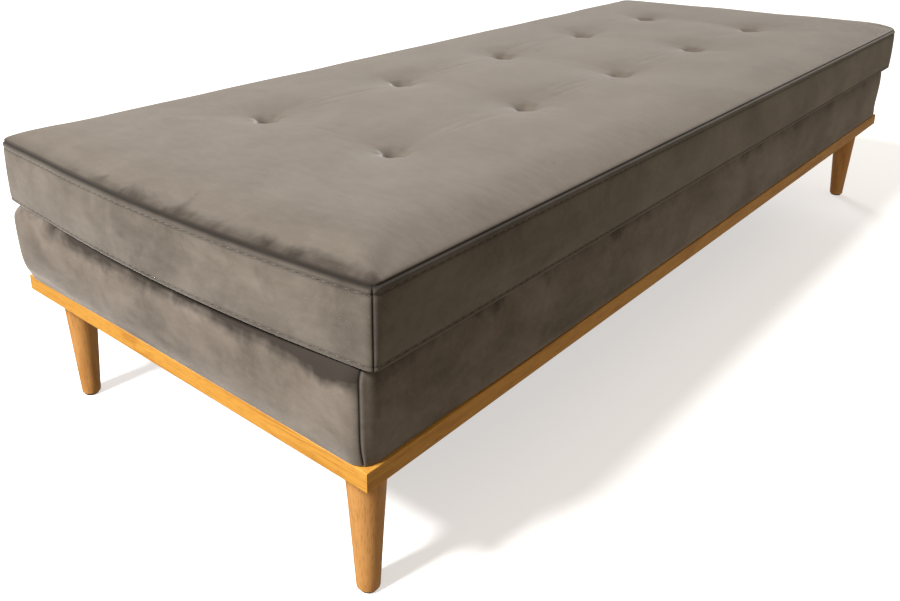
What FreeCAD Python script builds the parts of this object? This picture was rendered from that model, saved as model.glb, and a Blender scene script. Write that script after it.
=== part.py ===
"""Daybed: a loose tufted mattress on an upholstered box, an oak band and four tapered oak legs.

Millimetres, +Z up. The origin is on the floor under the middle of the bed, X runs along its length,
and -Y is the front. The zip of the mattress is at the rear, +Y.
"""

import FreeCAD, Part
import math
import os

Vector = FreeCAD.Vector
UP = Vector(0, 0, 1)

# ---------------------------------------------------------------- driving dimensions

# oak frame: four boards laid flat, whose outer edges are the band seen all round
FRAME_LENGTH = 2000.0
FRAME_WIDTH = 775.0
FLOOR_TO_FRAME = 201.5
OAK_THICK = 26.0
OAK_BOARD_WIDTH = 90.0

# legs, turned from solid oak
LEG_TOP_DIA = 55.6
LEG_FOOT_DIA = 31.2
LEG_FOOT_ROUND = 3.0
GLIDE_DIA = 24.0
GLIDE_THICK = 3.0
GLIDE_STEM_DIA = 5.0
GLIDE_STEM_LENGTH = 12.0

# corner plates and hanger bolts that hold the legs
PLATE_SIDE = 70.0
PLATE_EDGE_GAP = 1.0        # plate back from the inner edge of the oak board
PLATE_THICK = 3.0
PLATE_BOSS_DIA = 16.0
PLATE_BOSS_LENGTH = 10.0
PLATE_SCREW_INSET = 10.0
BOLT_DIA = 8.0
BOLT_IN_LEG = 35.0
BOLT_CLEARANCE = 0.5

# upholstered box on the oak frame
BOX_HEIGHT = 134.5
BOX_SETBACK = 4.0           # cover behind the outer faces of the oak frame
BOX_CORNER_RADIUS = 25.0
BOX_TOP_RADIUS = 12.0
COVER_THICK = 1.5
SIDE_PAD_THICK = 10.0
DECK_BORDER = 60.0          # velvet round the edge of the deck
HEM_WIDTH = 22.0            # cover turned in under the rails
DUST_COVER_THICK = 0.8
DUST_COVER_INSET = 8.0
DECK_FOAM_THICK = 15.0
DECK_FELT_THICK = 2.0

# softwood frame of the box
RAIL_THICK = 20.0
BLOCK_SIDE = 45.0
LEDGER_THICK = 22.0
LEDGER_HEIGHT = 30.0
CROSS_RAIL_THICK = 22.0
CROSS_RAIL_DROP = 2.0       # below the ledgers
SLAT_COUNT = 10
SLAT_WIDTH = 90.0
SLAT_THICK = 15.0
SLAT_END_GAP = 1.5

# screws: head diameter, shank diameter, length
OAK_SCREW = (9.0, 4.5, 62.0)
RAIL_SCREW = (9.0, 4.5, 60.0)
LEDGER_SCREW = (8.0, 4.0, 38.0)
SLAT_SCREW = (7.0, 3.5, 32.0)
PLATE_SCREW = (7.0, 3.5, 16.0)
SCREWS_PER_LONG_BOARD = 4
SCREWS_PER_CORNER = 3
SCREWS_PER_LEDGER = 6

# mattress
MATTRESS_OVER_SIDE = 13.5   # beyond the oak frame on the long sides
MATTRESS_OVER_END = 0.0     # beyond the oak frame at the corners of the short ends
MATTRESS_END_BOW = 24.0     # the short ends bow out between their corners
MATTRESS_GAP = 0.2          # between the deck and the mattress
BOTTOM_RISE = 2.5           # lower seam above the bottom panel
BOXING_HEIGHT = 93.0        # seam to seam
CROWN = 16.0                # top panel above the upper seam
MATTRESS_CORNER_RADIUS = 20.0
WADDING_THICK = 12.0
PANEL_MARGIN = 40.0         # no boxing further in than this

# tufts
TUFTS_ALONG = 5
TUFTS_ACROSS = 2
TUFT_PITCH_ALONG = 338.0
TUFT_PITCH_ACROSS = 283.0
PIT_DEPTH = 22.0
PIT_MOUTH_RADIUS = 42.0
BUTTON_DIA = 26.0
BUTTON_HEIGHT = 8.0
BUTTON_PLAY = 1.0           # pit floor beyond the button's edge
BACK_PIT_DEPTH = 8.0
BACK_BUTTON_DIA = 20.0
BACK_BUTTON_THICK = 4.0
TWINE_DIA = 2.0
TWINE_PLAY = 0.5

# zip in the rear boxing
ZIP_LENGTH = 1500.0
ZIP_OPENING = 16.0
TAPE_WIDTH = 32.0
TAPE_THICK = 0.8
TAPE_END = 15.0
COIL_WIDTH = 5.6
COIL_THICK = 2.4
SLIDER_LENGTH = 13.0
SLIDER_WALL = 1.1
SLIDER_PLAY = 0.35
SLIDER_FROM_END = 12.0
BAIL_LENGTH = 9.5
BAIL_WIDTH = 2.8
BAIL_BAR = 1.5
PULL_BAR_DIA = 1.2
PULL_PLAY = 0.25
PULL_ARM_LENGTH = 8.0
PULL_TAB_LENGTH = 18.0
PULL_TAB_WIDTH = 7.0

# ---------------------------------------------------------------- places worked out from them

HALF_LENGTH = FRAME_LENGTH / 2
HALF_WIDTH = FRAME_WIDTH / 2
FRAME_TOP = FLOOR_TO_FRAME + OAK_THICK
# the leg stands under the middle of its plate, and the plate seats wholly on the boards
LEG_INSET = OAK_BOARD_WIDTH - PLATE_EDGE_GAP - PLATE_SIDE / 2
LEG_X = HALF_LENGTH - LEG_INSET
LEG_Y = HALF_WIDTH - LEG_INSET
PLATE_TOP = FRAME_TOP

BOX_X = HALF_LENGTH - BOX_SETBACK
BOX_Y = HALF_WIDTH - BOX_SETBACK
BOX_TOP = FRAME_TOP + BOX_HEIGHT
HEM_BOTTOM = FRAME_TOP + DUST_COVER_THICK
RAIL_BOTTOM = HEM_BOTTOM + COVER_THICK
FOAM_TOP = BOX_TOP - COVER_THICK
FOAM_BOTTOM = FOAM_TOP - DECK_FOAM_THICK
SLAT_TOP = FOAM_BOTTOM - DECK_FELT_THICK
SLAT_BOTTOM = SLAT_TOP - SLAT_THICK
RAIL_TOP = SLAT_TOP
RAIL_X = BOX_X - COVER_THICK - SIDE_PAD_THICK
RAIL_Y = BOX_Y - COVER_THICK - SIDE_PAD_THICK
INNER_X = RAIL_X - RAIL_THICK
INNER_Y = RAIL_Y - RAIL_THICK

MATTRESS_X = HALF_LENGTH + MATTRESS_OVER_END
MATTRESS_Y = HALF_WIDTH + MATTRESS_OVER_SIDE
MATTRESS_BOTTOM = BOX_TOP + MATTRESS_GAP
LOWER_SEAM = MATTRESS_BOTTOM + BOTTOM_RISE
UPPER_SEAM = LOWER_SEAM + BOXING_HEIGHT
MATTRESS_TOP = UPPER_SEAM + CROWN
PIT_FLOOR = MATTRESS_TOP - PIT_DEPTH
BACK_PIT_ROOF = MATTRESS_BOTTOM + BACK_PIT_DEPTH

ZIP_Z = (LOWER_SEAM + UPPER_SEAM) / 2
TAPE_FACE = MATTRESS_Y - COVER_THICK
COIL_FACE = TAPE_FACE + COIL_THICK
SLIDER_X = ZIP_LENGTH / 2 - SLIDER_FROM_END
SLIDER_FACE = COIL_FACE + SLIDER_PLAY + SLIDER_WALL
PULL_AXIS_Y = SLIDER_FACE + PULL_PLAY + PULL_BAR_DIA / 2


# ---------------------------------------------------------------- helpers

def save(name, shape):
    """Write one sub-part, which may be a group of separate solids."""
    shape.exportStep(os.path.join("parts", name + ".step"))


def group(shapes):
    return Part.makeCompound(shapes)


def block(low_x, high_x, low_y, high_y, low_z, high_z):
    return Part.makeBox(high_x - low_x, high_y - low_y, high_z - low_z, Vector(low_x, low_y, low_z))


def rod(x, y, low_z, high_z, diameter):
    return Part.makeCylinder(diameter / 2, high_z - low_z, Vector(x, y, low_z))


def spread(low, high, count):
    """Evenly spaced places, the first and last half a step in from the ends."""
    step = (high - low) / count
    return [low + step * (i + 0.5) for i in range(count)]


def prism(points, low_z, high_z):
    corners = [Vector(x, y, low_z) for x, y in points]
    return Part.Face(Part.makePolygon(corners + corners[:1])).extrude(UP * (high_z - low_z))


def screw(point, direction, size):
    """Countersunk wood screw whose head is flush at point and whose shank runs along direction."""
    head_dia, shank_dia, length = size
    head_depth = (head_dia - shank_dia) / 2
    head = Part.makeCone(head_dia / 2, shank_dia / 2, head_depth, point, direction)
    tip_length = shank_dia
    shank_length = length - head_depth - tip_length
    shank = Part.makeCylinder(shank_dia / 2, shank_length, point + direction * head_depth, direction)
    tip_start = point + direction * (length - tip_length)
    tip = Part.makeCone(shank_dia / 2, shank_dia / 10, tip_length, tip_start, direction)
    return head.fuse([shank, tip])


def outline_side(start, end, bow):
    """One side of an outline: straight, or an arc that stands out by bow in the middle."""
    if bow == 0:
        return Part.LineSegment(start, end).toShape()
    out = (end - start).cross(UP).normalize()
    return Part.Arc(start, (start + end) * 0.5 + out * bow, end).toShape()


def bowed_outline(half_x, half_y, bow, z):
    """Rectangle, anticlockwise from the front left, whose two short ends bow out."""
    places = ((-half_x, -half_y), (half_x, -half_y), (half_x, half_y), (-half_x, half_y))
    corners = [Vector(x, y, z) for x, y in places]
    bows = (0, bow, 0, bow)
    return Part.Wire([outline_side(corners[i], corners[(i + 1) % 4], bows[i]) for i in range(4)])


def soft_block(half_x, half_y, bow, low_z, high_z, corner_radius, top_radius):
    """Upholstered block with round vertical corners and a round top edge."""
    outline = bowed_outline(half_x, half_y, bow, low_z)
    body = Part.Face(outline).extrude(UP * (high_z - low_z))
    if corner_radius > 0:
        upright = [e for e in body.Edges if abs(e.BoundBox.ZLength - (high_z - low_z)) < 0.01]
        body = body.makeFillet(corner_radius, upright)
    if top_radius > 0:
        rim = [e for e in body.Edges if e.BoundBox.ZMin > high_z - 0.01]
        body = body.makeFillet(top_radius, rim)
    return body


def box_layer(inset, low_z, high_z):
    """The box's outer form, moved in by inset on every side, between two heights."""
    whole = soft_block(BOX_X - inset, BOX_Y - inset, 0, FRAME_TOP, BOX_TOP - inset,
                       BOX_CORNER_RADIUS - inset, BOX_TOP_RADIUS - inset)
    slab = block(-FRAME_LENGTH, FRAME_LENGTH, -FRAME_WIDTH, FRAME_WIDTH, low_z, high_z)
    return whole.common(slab)


def straight_layer(inset, low_z, high_z):
    """The box's plan, moved in by inset, as a plain upright prism."""
    return soft_block(BOX_X - inset, BOX_Y - inset, 0, low_z, high_z, BOX_CORNER_RADIUS - inset, 0)


def corner_signs():
    return [(-1, -1), (1, -1), (-1, 1), (1, 1)]


def corner_name(sign_x, sign_y):
    return ("front" if sign_y < 0 else "rear") + "_" + ("left" if sign_x < 0 else "right")


# ---------------------------------------------------------------- fasteners

def make_plate_screws():
    reach = PLATE_SIDE / 2 - PLATE_SCREW_INSET
    screws = []
    for sign_x, sign_y in corner_signs():
        for step_x, step_y in corner_signs():
            point = Vector(sign_x * LEG_X + step_x * reach, sign_y * LEG_Y + step_y * reach, PLATE_TOP)
            screws.append(screw(point, -UP, PLATE_SCREW))
    return screws


def make_oak_screws():
    """Screws up through the oak boards into the rails of the box."""
    rail_mid_x = RAIL_X - RAIL_THICK / 2
    rail_mid_y = RAIL_Y - RAIL_THICK / 2
    clear = LEG_X - PLATE_SIDE
    along = spread(-clear, clear, SCREWS_PER_LONG_BOARD)
    places = [(x, side * rail_mid_y) for side in (-1, 1) for x in along]
    places += [(side * rail_mid_x, 0) for side in (-1, 1)]
    return [screw(Vector(x, y, FLOOR_TO_FRAME), UP, OAK_SCREW) for x, y in places]


def make_rail_screws():
    """Screws through the long rails into the ends of the short ones."""
    x = RAIL_X - RAIL_THICK / 2
    heights = spread(RAIL_BOTTOM, RAIL_TOP, SCREWS_PER_CORNER)
    return [screw(Vector(sign_x * x, sign_y * RAIL_Y, z), Vector(0, -sign_y, 0), RAIL_SCREW)
            for sign_x, sign_y in corner_signs() for z in heights]


def make_ledger_screws():
    """Screws through the ledgers into the long rails."""
    z = SLAT_BOTTOM - LEDGER_HEIGHT / 2
    end = INNER_X - BLOCK_SIDE
    return [screw(Vector(x, side * (INNER_Y - LEDGER_THICK), z), Vector(0, side, 0), LEDGER_SCREW)
            for side in (-1, 1) for x in spread(-end, end, SCREWS_PER_LEDGER)]


def slat_places():
    return spread(-INNER_X, INNER_X, SLAT_COUNT)


def make_slat_screws():
    y = INNER_Y - LEDGER_THICK / 2
    return [screw(Vector(x, side * y, SLAT_TOP), -UP, SLAT_SCREW) for x in slat_places() for side in (-1, 1)]


# ---------------------------------------------------------------- oak frame and legs

def make_oak_boards(cutters):
    """Four flat boards, mitred at the corners, recessed for the corner plates and drilled."""
    in_x = HALF_LENGTH - OAK_BOARD_WIDTH
    in_y = HALF_WIDTH - OAK_BOARD_WIDTH
    boards = {}
    for name, sign in (("front", -1), ("rear", 1)):
        points = [(-HALF_LENGTH, sign * HALF_WIDTH), (HALF_LENGTH, sign * HALF_WIDTH),
                  (in_x, sign * in_y), (-in_x, sign * in_y)]
        boards[name] = prism(points, FLOOR_TO_FRAME, FRAME_TOP)
    for name, sign in (("left", -1), ("right", 1)):
        points = [(sign * HALF_LENGTH, -HALF_WIDTH), (sign * HALF_LENGTH, HALF_WIDTH),
                  (sign * in_x, in_y), (sign * in_x, -in_y)]
        boards[name] = prism(points, FLOOR_TO_FRAME, FRAME_TOP)
    for sign_x, sign_y in corner_signs():
        x, y, half = sign_x * LEG_X, sign_y * LEG_Y, PLATE_SIDE / 2
        under = PLATE_TOP - PLATE_THICK
        recess = block(x - half, x + half, y - half, y + half, under, PLATE_TOP)
        boss_hole = rod(x, y, under - PLATE_BOSS_LENGTH, PLATE_TOP, PLATE_BOSS_DIA)
        bolt_hole = rod(x, y, FLOOR_TO_FRAME, PLATE_TOP, BOLT_DIA + 2 * BOLT_CLEARANCE)
        cutters = cutters + [recess, boss_hole, bolt_hole]
    for name, board in boards.items():
        save("oak_board_" + name, board.cut(cutters))


def make_corner_plates(screws):
    for sign_x, sign_y in corner_signs():
        x, y, half = sign_x * LEG_X, sign_y * LEG_Y, PLATE_SIDE / 2
        under = PLATE_TOP - PLATE_THICK
        plate = block(x - half, x + half, y - half, y + half, under, PLATE_TOP)
        plate = plate.fuse(rod(x, y, under - PLATE_BOSS_LENGTH, under, PLATE_BOSS_DIA))
        plate = plate.cut(rod(x, y, under - PLATE_BOSS_LENGTH, PLATE_TOP, BOLT_DIA))
        save("corner_plate_" + corner_name(sign_x, sign_y), plate.cut(screws))


def make_legs():
    """Tapered turned legs, drilled for the hanger bolt above and the glide's stem below."""
    low, high = GLIDE_THICK, FLOOR_TO_FRAME
    foot, top, ease = LEG_FOOT_DIA / 2, LEG_TOP_DIA / 2, LEG_FOOT_ROUND
    corner = ease * math.sin(math.pi / 4)
    bend = Part.Arc(Vector(foot - ease, 0, low), Vector(foot - ease + corner, 0, low + ease - corner),
                    Vector(foot, 0, low + ease)).toShape()
    points = [Vector(foot, 0, low + ease), Vector(top, 0, high), Vector(0, 0, high), Vector(0, 0, low),
              Vector(foot - ease, 0, low)]
    outline = Part.Wire([bend] + Part.makePolygon(points).Edges)
    leg = Part.Face(outline).revolve(Vector(0, 0, 0), UP, 360)
    leg = leg.cut([rod(0, 0, high - BOLT_IN_LEG, high, BOLT_DIA),
                   rod(0, 0, low, low + GLIDE_STEM_LENGTH, GLIDE_STEM_DIA)])
    for sign_x, sign_y in corner_signs():
        placed = leg.translated(Vector(sign_x * LEG_X, sign_y * LEG_Y, 0))
        save("leg_" + corner_name(sign_x, sign_y), placed)


def make_leg_fittings():
    bolts, glides = [], []
    for sign_x, sign_y in corner_signs():
        x, y = sign_x * LEG_X, sign_y * LEG_Y
        bolts.append(rod(x, y, FLOOR_TO_FRAME - BOLT_IN_LEG, PLATE_TOP, BOLT_DIA))
        stem = rod(x, y, GLIDE_THICK, GLIDE_THICK + GLIDE_STEM_LENGTH, GLIDE_STEM_DIA)
        glides.append(rod(x, y, 0, GLIDE_THICK, GLIDE_DIA).fuse(stem))
    save("hanger_bolts", group(bolts))
    save("leg_glides", group(glides))


# ---------------------------------------------------------------- upholstered box

def make_rails(cutters):
    for name, sign in (("front", -1), ("rear", 1)):
        outer, inner = sorted((sign * RAIL_Y, sign * INNER_Y))
        save("box_rail_" + name, block(-RAIL_X, RAIL_X, outer, inner, RAIL_BOTTOM, RAIL_TOP).cut(cutters))
    for name, sign in (("left", -1), ("right", 1)):
        outer, inner = sorted((sign * RAIL_X, sign * INNER_X))
        save("box_rail_" + name, block(outer, inner, -INNER_Y, INNER_Y, RAIL_BOTTOM, RAIL_TOP).cut(cutters))


def make_inner_frame(ledger_screws, slat_screws):
    """Corner blocks, ledgers that carry the slats, and two cross rails between the long rails."""
    blocks = []
    for sign_x, sign_y in corner_signs():
        low_x, high_x = sorted((sign_x * INNER_X, sign_x * (INNER_X - BLOCK_SIDE)))
        low_y, high_y = sorted((sign_y * INNER_Y, sign_y * (INNER_Y - BLOCK_SIDE)))
        blocks.append(block(low_x, high_x, low_y, high_y, RAIL_BOTTOM, SLAT_BOTTOM).cut(slat_screws))
    save("corner_blocks", group(blocks))

    end = INNER_X - BLOCK_SIDE
    for name, sign in (("front", -1), ("rear", 1)):
        low_y, high_y = sorted((sign * INNER_Y, sign * (INNER_Y - LEDGER_THICK)))
        ledger = block(-end, end, low_y, high_y, SLAT_BOTTOM - LEDGER_HEIGHT, SLAT_BOTTOM)
        save("slat_ledger_" + name, ledger.cut(ledger_screws + slat_screws))

    rail_top = SLAT_BOTTOM - LEDGER_HEIGHT - CROSS_RAIL_DROP
    for name, sign in (("left", -1), ("right", 1)):
        middle = sign * INNER_X / 3
        save("cross_rail_" + name, block(middle - CROSS_RAIL_THICK / 2, middle + CROSS_RAIL_THICK / 2,
                                         -INNER_Y, INNER_Y, RAIL_BOTTOM, rail_top))


def make_slats(screws):
    reach = INNER_Y - SLAT_END_GAP
    for number, x in enumerate(slat_places(), 1):
        slat = block(x - SLAT_WIDTH / 2, x + SLAT_WIDTH / 2, -reach, reach, SLAT_BOTTOM, SLAT_TOP)
        save("slat_%02d" % number, slat.cut(screws))


def make_padding():
    """Felt and foam of the deck, and a foam strip on each side of the box."""
    save("deck_felt", block(-RAIL_X, RAIL_X, -RAIL_Y, RAIL_Y, SLAT_TOP, FOAM_BOTTOM))
    save("deck_foam", box_layer(COVER_THICK, FOAM_BOTTOM, FOAM_TOP))
    ring = straight_layer(COVER_THICK, RAIL_BOTTOM, FOAM_BOTTOM)
    ring = ring.cut(block(-RAIL_X, RAIL_X, -RAIL_Y, RAIL_Y, RAIL_BOTTOM, FOAM_BOTTOM))
    for name, sign in (("front", -1), ("rear", 1)):
        low_y, high_y = sorted((sign * RAIL_Y, sign * FRAME_WIDTH))
        save("side_pad_" + name, ring.common(block(-FRAME_LENGTH, FRAME_LENGTH, low_y, high_y, 0, BOX_TOP)))
    for name, sign in (("left", -1), ("right", 1)):
        low_x, high_x = sorted((sign * RAIL_X, sign * FRAME_LENGTH))
        save("side_pad_" + name, ring.common(block(low_x, high_x, -RAIL_Y, RAIL_Y, 0, BOX_TOP)))


def make_box_covers(oak_screws):
    """Velvet round the box with its hem turned in below, the lining on the deck, and the dust cover."""
    cover = box_layer(0, HEM_BOTTOM, BOX_TOP)
    cover = cover.cut(box_layer(COVER_THICK, RAIL_BOTTOM, FOAM_TOP))
    cover = cover.cut(straight_layer(DECK_BORDER, FOAM_TOP, BOX_TOP))
    cover = cover.cut(straight_layer(COVER_THICK + HEM_WIDTH, HEM_BOTTOM, RAIL_BOTTOM))
    save("box_cover", cover.cut(oak_screws))
    save("deck_lining", straight_layer(DECK_BORDER, FOAM_TOP, BOX_TOP))
    save("dust_cover", straight_layer(DUST_COVER_INSET, FRAME_TOP, HEM_BOTTOM).cut(oak_screws))


# ---------------------------------------------------------------- mattress

def tuft_places():
    along = [TUFT_PITCH_ALONG * (i - (TUFTS_ALONG - 1) / 2) for i in range(TUFTS_ALONG)]
    across = [TUFT_PITCH_ACROSS * (i - (TUFTS_ACROSS - 1) / 2) for i in range(TUFTS_ACROSS)]
    return [(x, y) for y in across for x in along]


def mattress_layer(inset):
    """The mattress moved in by inset on every side, with its tuft pits and twine holes."""
    body = soft_block(MATTRESS_X - inset, MATTRESS_Y - inset, MATTRESS_END_BOW, MATTRESS_BOTTOM + inset,
                      MATTRESS_TOP - inset, MATTRESS_CORNER_RADIUS - inset, CROWN - inset)
    floor_radius = BUTTON_DIA / 2 + BUTTON_PLAY
    slope = (PIT_MOUTH_RADIUS - floor_radius) / PIT_DEPTH
    overshoot = 1.0
    pits = []
    for x, y in tuft_places():
        mouth = PIT_MOUTH_RADIUS + inset + slope * overshoot
        pits.append(Part.makeCone(floor_radius + inset, mouth, PIT_DEPTH + overshoot,
                                  Vector(x, y, PIT_FLOOR - inset)))
        pits.append(rod(x, y, MATTRESS_BOTTOM - overshoot, MATTRESS_TOP, TWINE_DIA + 2 * TWINE_PLAY))
        back_radius = BACK_BUTTON_DIA / 2 + BUTTON_PLAY + inset
        pits.append(Part.makeCylinder(back_radius, BACK_PIT_DEPTH + overshoot,
                                      Vector(x, y, MATTRESS_BOTTOM + inset - overshoot)))
    return body.cut(pits)


def make_mattress():
    """Foam core, wadding, and the cover in three panels with a slot for the zip."""
    outer = mattress_layer(0)
    under_cover = mattress_layer(COVER_THICK)
    core = mattress_layer(COVER_THICK + WADDING_THICK)
    half_tape = ZIP_LENGTH / 2 + TAPE_END
    tape = block(-half_tape, half_tape, TAPE_FACE - TAPE_THICK, TAPE_FACE,
                 ZIP_Z - TAPE_WIDTH / 2, ZIP_Z + TAPE_WIDTH / 2)
    slot = block(-ZIP_LENGTH / 2, ZIP_LENGTH / 2, TAPE_FACE, MATTRESS_Y + COVER_THICK,
                 ZIP_Z - ZIP_OPENING / 2, ZIP_Z + ZIP_OPENING / 2)
    cover = outer.cut(under_cover)
    far = 2 * FRAME_LENGTH
    reach_x, reach_y = MATTRESS_X - PANEL_MARGIN, MATTRESS_Y - PANEL_MARGIN
    below = block(-far, far, -far, far, 0, LOWER_SEAM)
    below = below.fuse(block(-reach_x, reach_x, -reach_y, reach_y, 0, ZIP_Z))
    above = block(-far, far, -far, far, UPPER_SEAM, far)
    above = above.fuse(block(-reach_x, reach_x, -reach_y, reach_y, ZIP_Z, far))
    save("foam_core", core)
    save("wadding", under_cover.cut([core, tape]))
    save("cover_top", cover.common(above))
    save("cover_bottom", cover.common(below))
    save("cover_boxing", cover.cut([above, below, slot]))
    save("zip_tape", tape)
    save("zip_coil", block(-ZIP_LENGTH / 2, ZIP_LENGTH / 2, TAPE_FACE, COIL_FACE,
                           ZIP_Z - COIL_WIDTH / 2, ZIP_Z + COIL_WIDTH / 2))


def make_tufts():
    """Covered buttons in the pits, plain buttons underneath, and the twine between each pair."""
    radius = BUTTON_DIA / 2
    dome_radius = (radius ** 2 + BUTTON_HEIGHT ** 2) / (2 * BUTTON_HEIGHT)
    buttons, back_buttons, twines = [], [], []
    for x, y in tuft_places():
        ball = Part.makeSphere(dome_radius, Vector(x, y, PIT_FLOOR + BUTTON_HEIGHT - dome_radius))
        buttons.append(ball.common(rod(x, y, PIT_FLOOR, PIT_FLOOR + BUTTON_HEIGHT, BUTTON_DIA)))
        back_buttons.append(rod(x, y, BACK_PIT_ROOF - BACK_BUTTON_THICK, BACK_PIT_ROOF, BACK_BUTTON_DIA))
        twines.append(rod(x, y, BACK_PIT_ROOF, PIT_FLOOR, TWINE_DIA))
    save("tuft_buttons", group(buttons))
    save("back_buttons", group(back_buttons))
    save("tuft_twines", group(twines))


# ---------------------------------------------------------------- zip slider and pull

def make_slider():
    """Channel that straddles the coil, with an arched bail on its face."""
    half = SLIDER_LENGTH / 2
    inner = COIL_WIDTH / 2 + SLIDER_PLAY
    outer = inner + SLIDER_WALL
    channel = block(SLIDER_X - half, SLIDER_X + half, TAPE_FACE + SLIDER_PLAY, SLIDER_FACE,
                    ZIP_Z - outer, ZIP_Z + outer)
    channel = channel.cut(block(SLIDER_X - half, SLIDER_X + half, TAPE_FACE, COIL_FACE + SLIDER_PLAY,
                                ZIP_Z - inner, ZIP_Z + inner))
    bridge_low = PULL_AXIS_Y + PULL_BAR_DIA / 2 + PULL_PLAY
    bail = block(SLIDER_X - BAIL_LENGTH / 2, SLIDER_X + BAIL_LENGTH / 2, SLIDER_FACE, bridge_low + BAIL_BAR,
                 ZIP_Z - BAIL_WIDTH / 2, ZIP_Z + BAIL_WIDTH / 2)
    eye = block(SLIDER_X - BAIL_LENGTH / 2 + BAIL_BAR, SLIDER_X + BAIL_LENGTH / 2 - BAIL_BAR,
                SLIDER_FACE, bridge_low, ZIP_Z - BAIL_WIDTH, ZIP_Z + BAIL_WIDTH)
    save("zip_slider", channel.fuse(bail.cut(eye)))


def make_pull():
    """Bar through the bail's eye, two arms beside the bail, and the tab that fingers hold."""
    radius = PULL_BAR_DIA / 2
    arm_inner = BAIL_WIDTH / 2 + 2 * PULL_PLAY
    arm_outer = PULL_TAB_WIDTH / 2
    low_y, high_y = PULL_AXIS_Y - radius, PULL_AXIS_Y + radius
    bar = rod(SLIDER_X, PULL_AXIS_Y, ZIP_Z - arm_outer, ZIP_Z + arm_outer, PULL_BAR_DIA)
    arms = []
    for sign in (-1, 1):
        low_z, high_z = sorted((ZIP_Z + sign * arm_inner, ZIP_Z + sign * arm_outer))
        arms.append(block(SLIDER_X - PULL_ARM_LENGTH, SLIDER_X, low_y, high_y, low_z, high_z))
    tab = block(SLIDER_X - PULL_ARM_LENGTH - PULL_TAB_LENGTH, SLIDER_X - PULL_ARM_LENGTH, low_y, high_y,
                ZIP_Z - arm_outer, ZIP_Z + arm_outer)
    tab_end = [e for e in tab.Edges
               if e.BoundBox.XMax < SLIDER_X - PULL_ARM_LENGTH - 1 and e.BoundBox.YLength > radius]
    tab = tab.makeFillet(PULL_TAB_WIDTH / 3, tab_end)
    save("zip_pull", bar.fuse(arms + [tab]))


# ---------------------------------------------------------------- the whole daybed

def main():
    os.makedirs("parts", exist_ok=True)
    plate_screws = make_plate_screws()
    oak_screws = make_oak_screws()
    rail_screws = make_rail_screws()
    ledger_screws = make_ledger_screws()
    slat_screws = make_slat_screws()
    for name, screws in (("plate_screws", plate_screws), ("oak_screws", oak_screws),
                         ("rail_screws", rail_screws), ("ledger_screws", ledger_screws),
                         ("slat_screws", slat_screws)):
        save(name, group(screws))
    make_oak_boards(plate_screws + oak_screws)
    make_corner_plates(plate_screws)
    make_legs()
    make_leg_fittings()
    make_rails(oak_screws + rail_screws + ledger_screws)
    make_inner_frame(ledger_screws, slat_screws)
    make_slats(slat_screws)
    make_padding()
    make_box_covers(oak_screws)
    make_mattress()
    make_tufts()
    make_slider()
    make_pull()


main()
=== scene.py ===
# %% [markdown]
# # A tufted velvet daybed, piece by piece
# The daybed is a loose mattress on an upholstered box, edged by an oak band and standing on four
# turned oak legs. The solid model gives every piece its place and size, so it is loaded first and
# never moved. The soft pieces, the oak and the trim are then built anew round it, because a loose
# cover, a rounded wooden edge and a row of stitches are shapes that a plain solid doesn't have.

# %% Load the solid model
import bpy
import bmesh
import math
from mathutils import Matrix, Vector, noise
from mathutils.bvhtree import BVHTree


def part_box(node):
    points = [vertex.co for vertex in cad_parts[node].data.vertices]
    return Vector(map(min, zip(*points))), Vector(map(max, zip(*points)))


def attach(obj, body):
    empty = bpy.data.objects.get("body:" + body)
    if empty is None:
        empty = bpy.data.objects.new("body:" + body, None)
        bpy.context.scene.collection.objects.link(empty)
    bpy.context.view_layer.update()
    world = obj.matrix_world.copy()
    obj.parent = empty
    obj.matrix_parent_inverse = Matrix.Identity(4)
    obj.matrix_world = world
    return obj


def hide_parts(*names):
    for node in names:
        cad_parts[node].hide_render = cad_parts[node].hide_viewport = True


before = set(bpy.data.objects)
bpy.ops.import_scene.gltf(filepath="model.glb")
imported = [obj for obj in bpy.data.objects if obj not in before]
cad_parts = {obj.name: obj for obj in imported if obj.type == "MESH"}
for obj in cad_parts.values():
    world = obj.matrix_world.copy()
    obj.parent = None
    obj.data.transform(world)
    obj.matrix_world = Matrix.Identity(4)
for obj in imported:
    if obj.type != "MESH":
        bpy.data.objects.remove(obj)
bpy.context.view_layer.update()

# %% [markdown]
# # Lengths read from the model
# Every length is in metres. The places that the pieces share, such as the height of a seam, are read
# from the boxes of the solid nodes, so a piece follows the model if the model changes.

# %% Shared lengths
mm = 0.001
scene = bpy.context.scene
boxing_low, boxing_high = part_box("cover_boxing")
button_low, button_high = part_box("tuft_buttons")
back_low, back_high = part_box("back_buttons")
box_low, box_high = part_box("box_cover")

half_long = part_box("oak_board_front")[1][0]
end_bow = boxing_high[0] - half_long
half_wide = -boxing_low[1]
lower_seam, upper_seam = boxing_low[2], boxing_high[2]
mattress_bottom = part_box("cover_bottom")[0][2]
mattress_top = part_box("cover_top")[1][2]
BUTTON_SHAPE = 13 / 8
button_radius = (button_high[2] - button_low[2]) * BUTTON_SHAPE
tuft_half = (button_high[0] - button_radius, button_high[1] - button_radius)
tufts = [(tuft_half[0] * step / 2, side * tuft_half[1]) for side in (-1, 1) for step in (-2, -1, 0, 1, 2)]
print("half length", half_long, "bow", round(end_bow, 4), "seams", lower_seam, upper_seam, "tufts", tufts[:2])

# %% [markdown]
# # Camera
# The camera stands at the bed's left front corner, about 0.85 m up, and looks along its length. A
# lens of 35 mm stretches the near corner as a hand-held picture does. The shift keeps the upright
# lines of the legs in place while the frame moves down.

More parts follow.
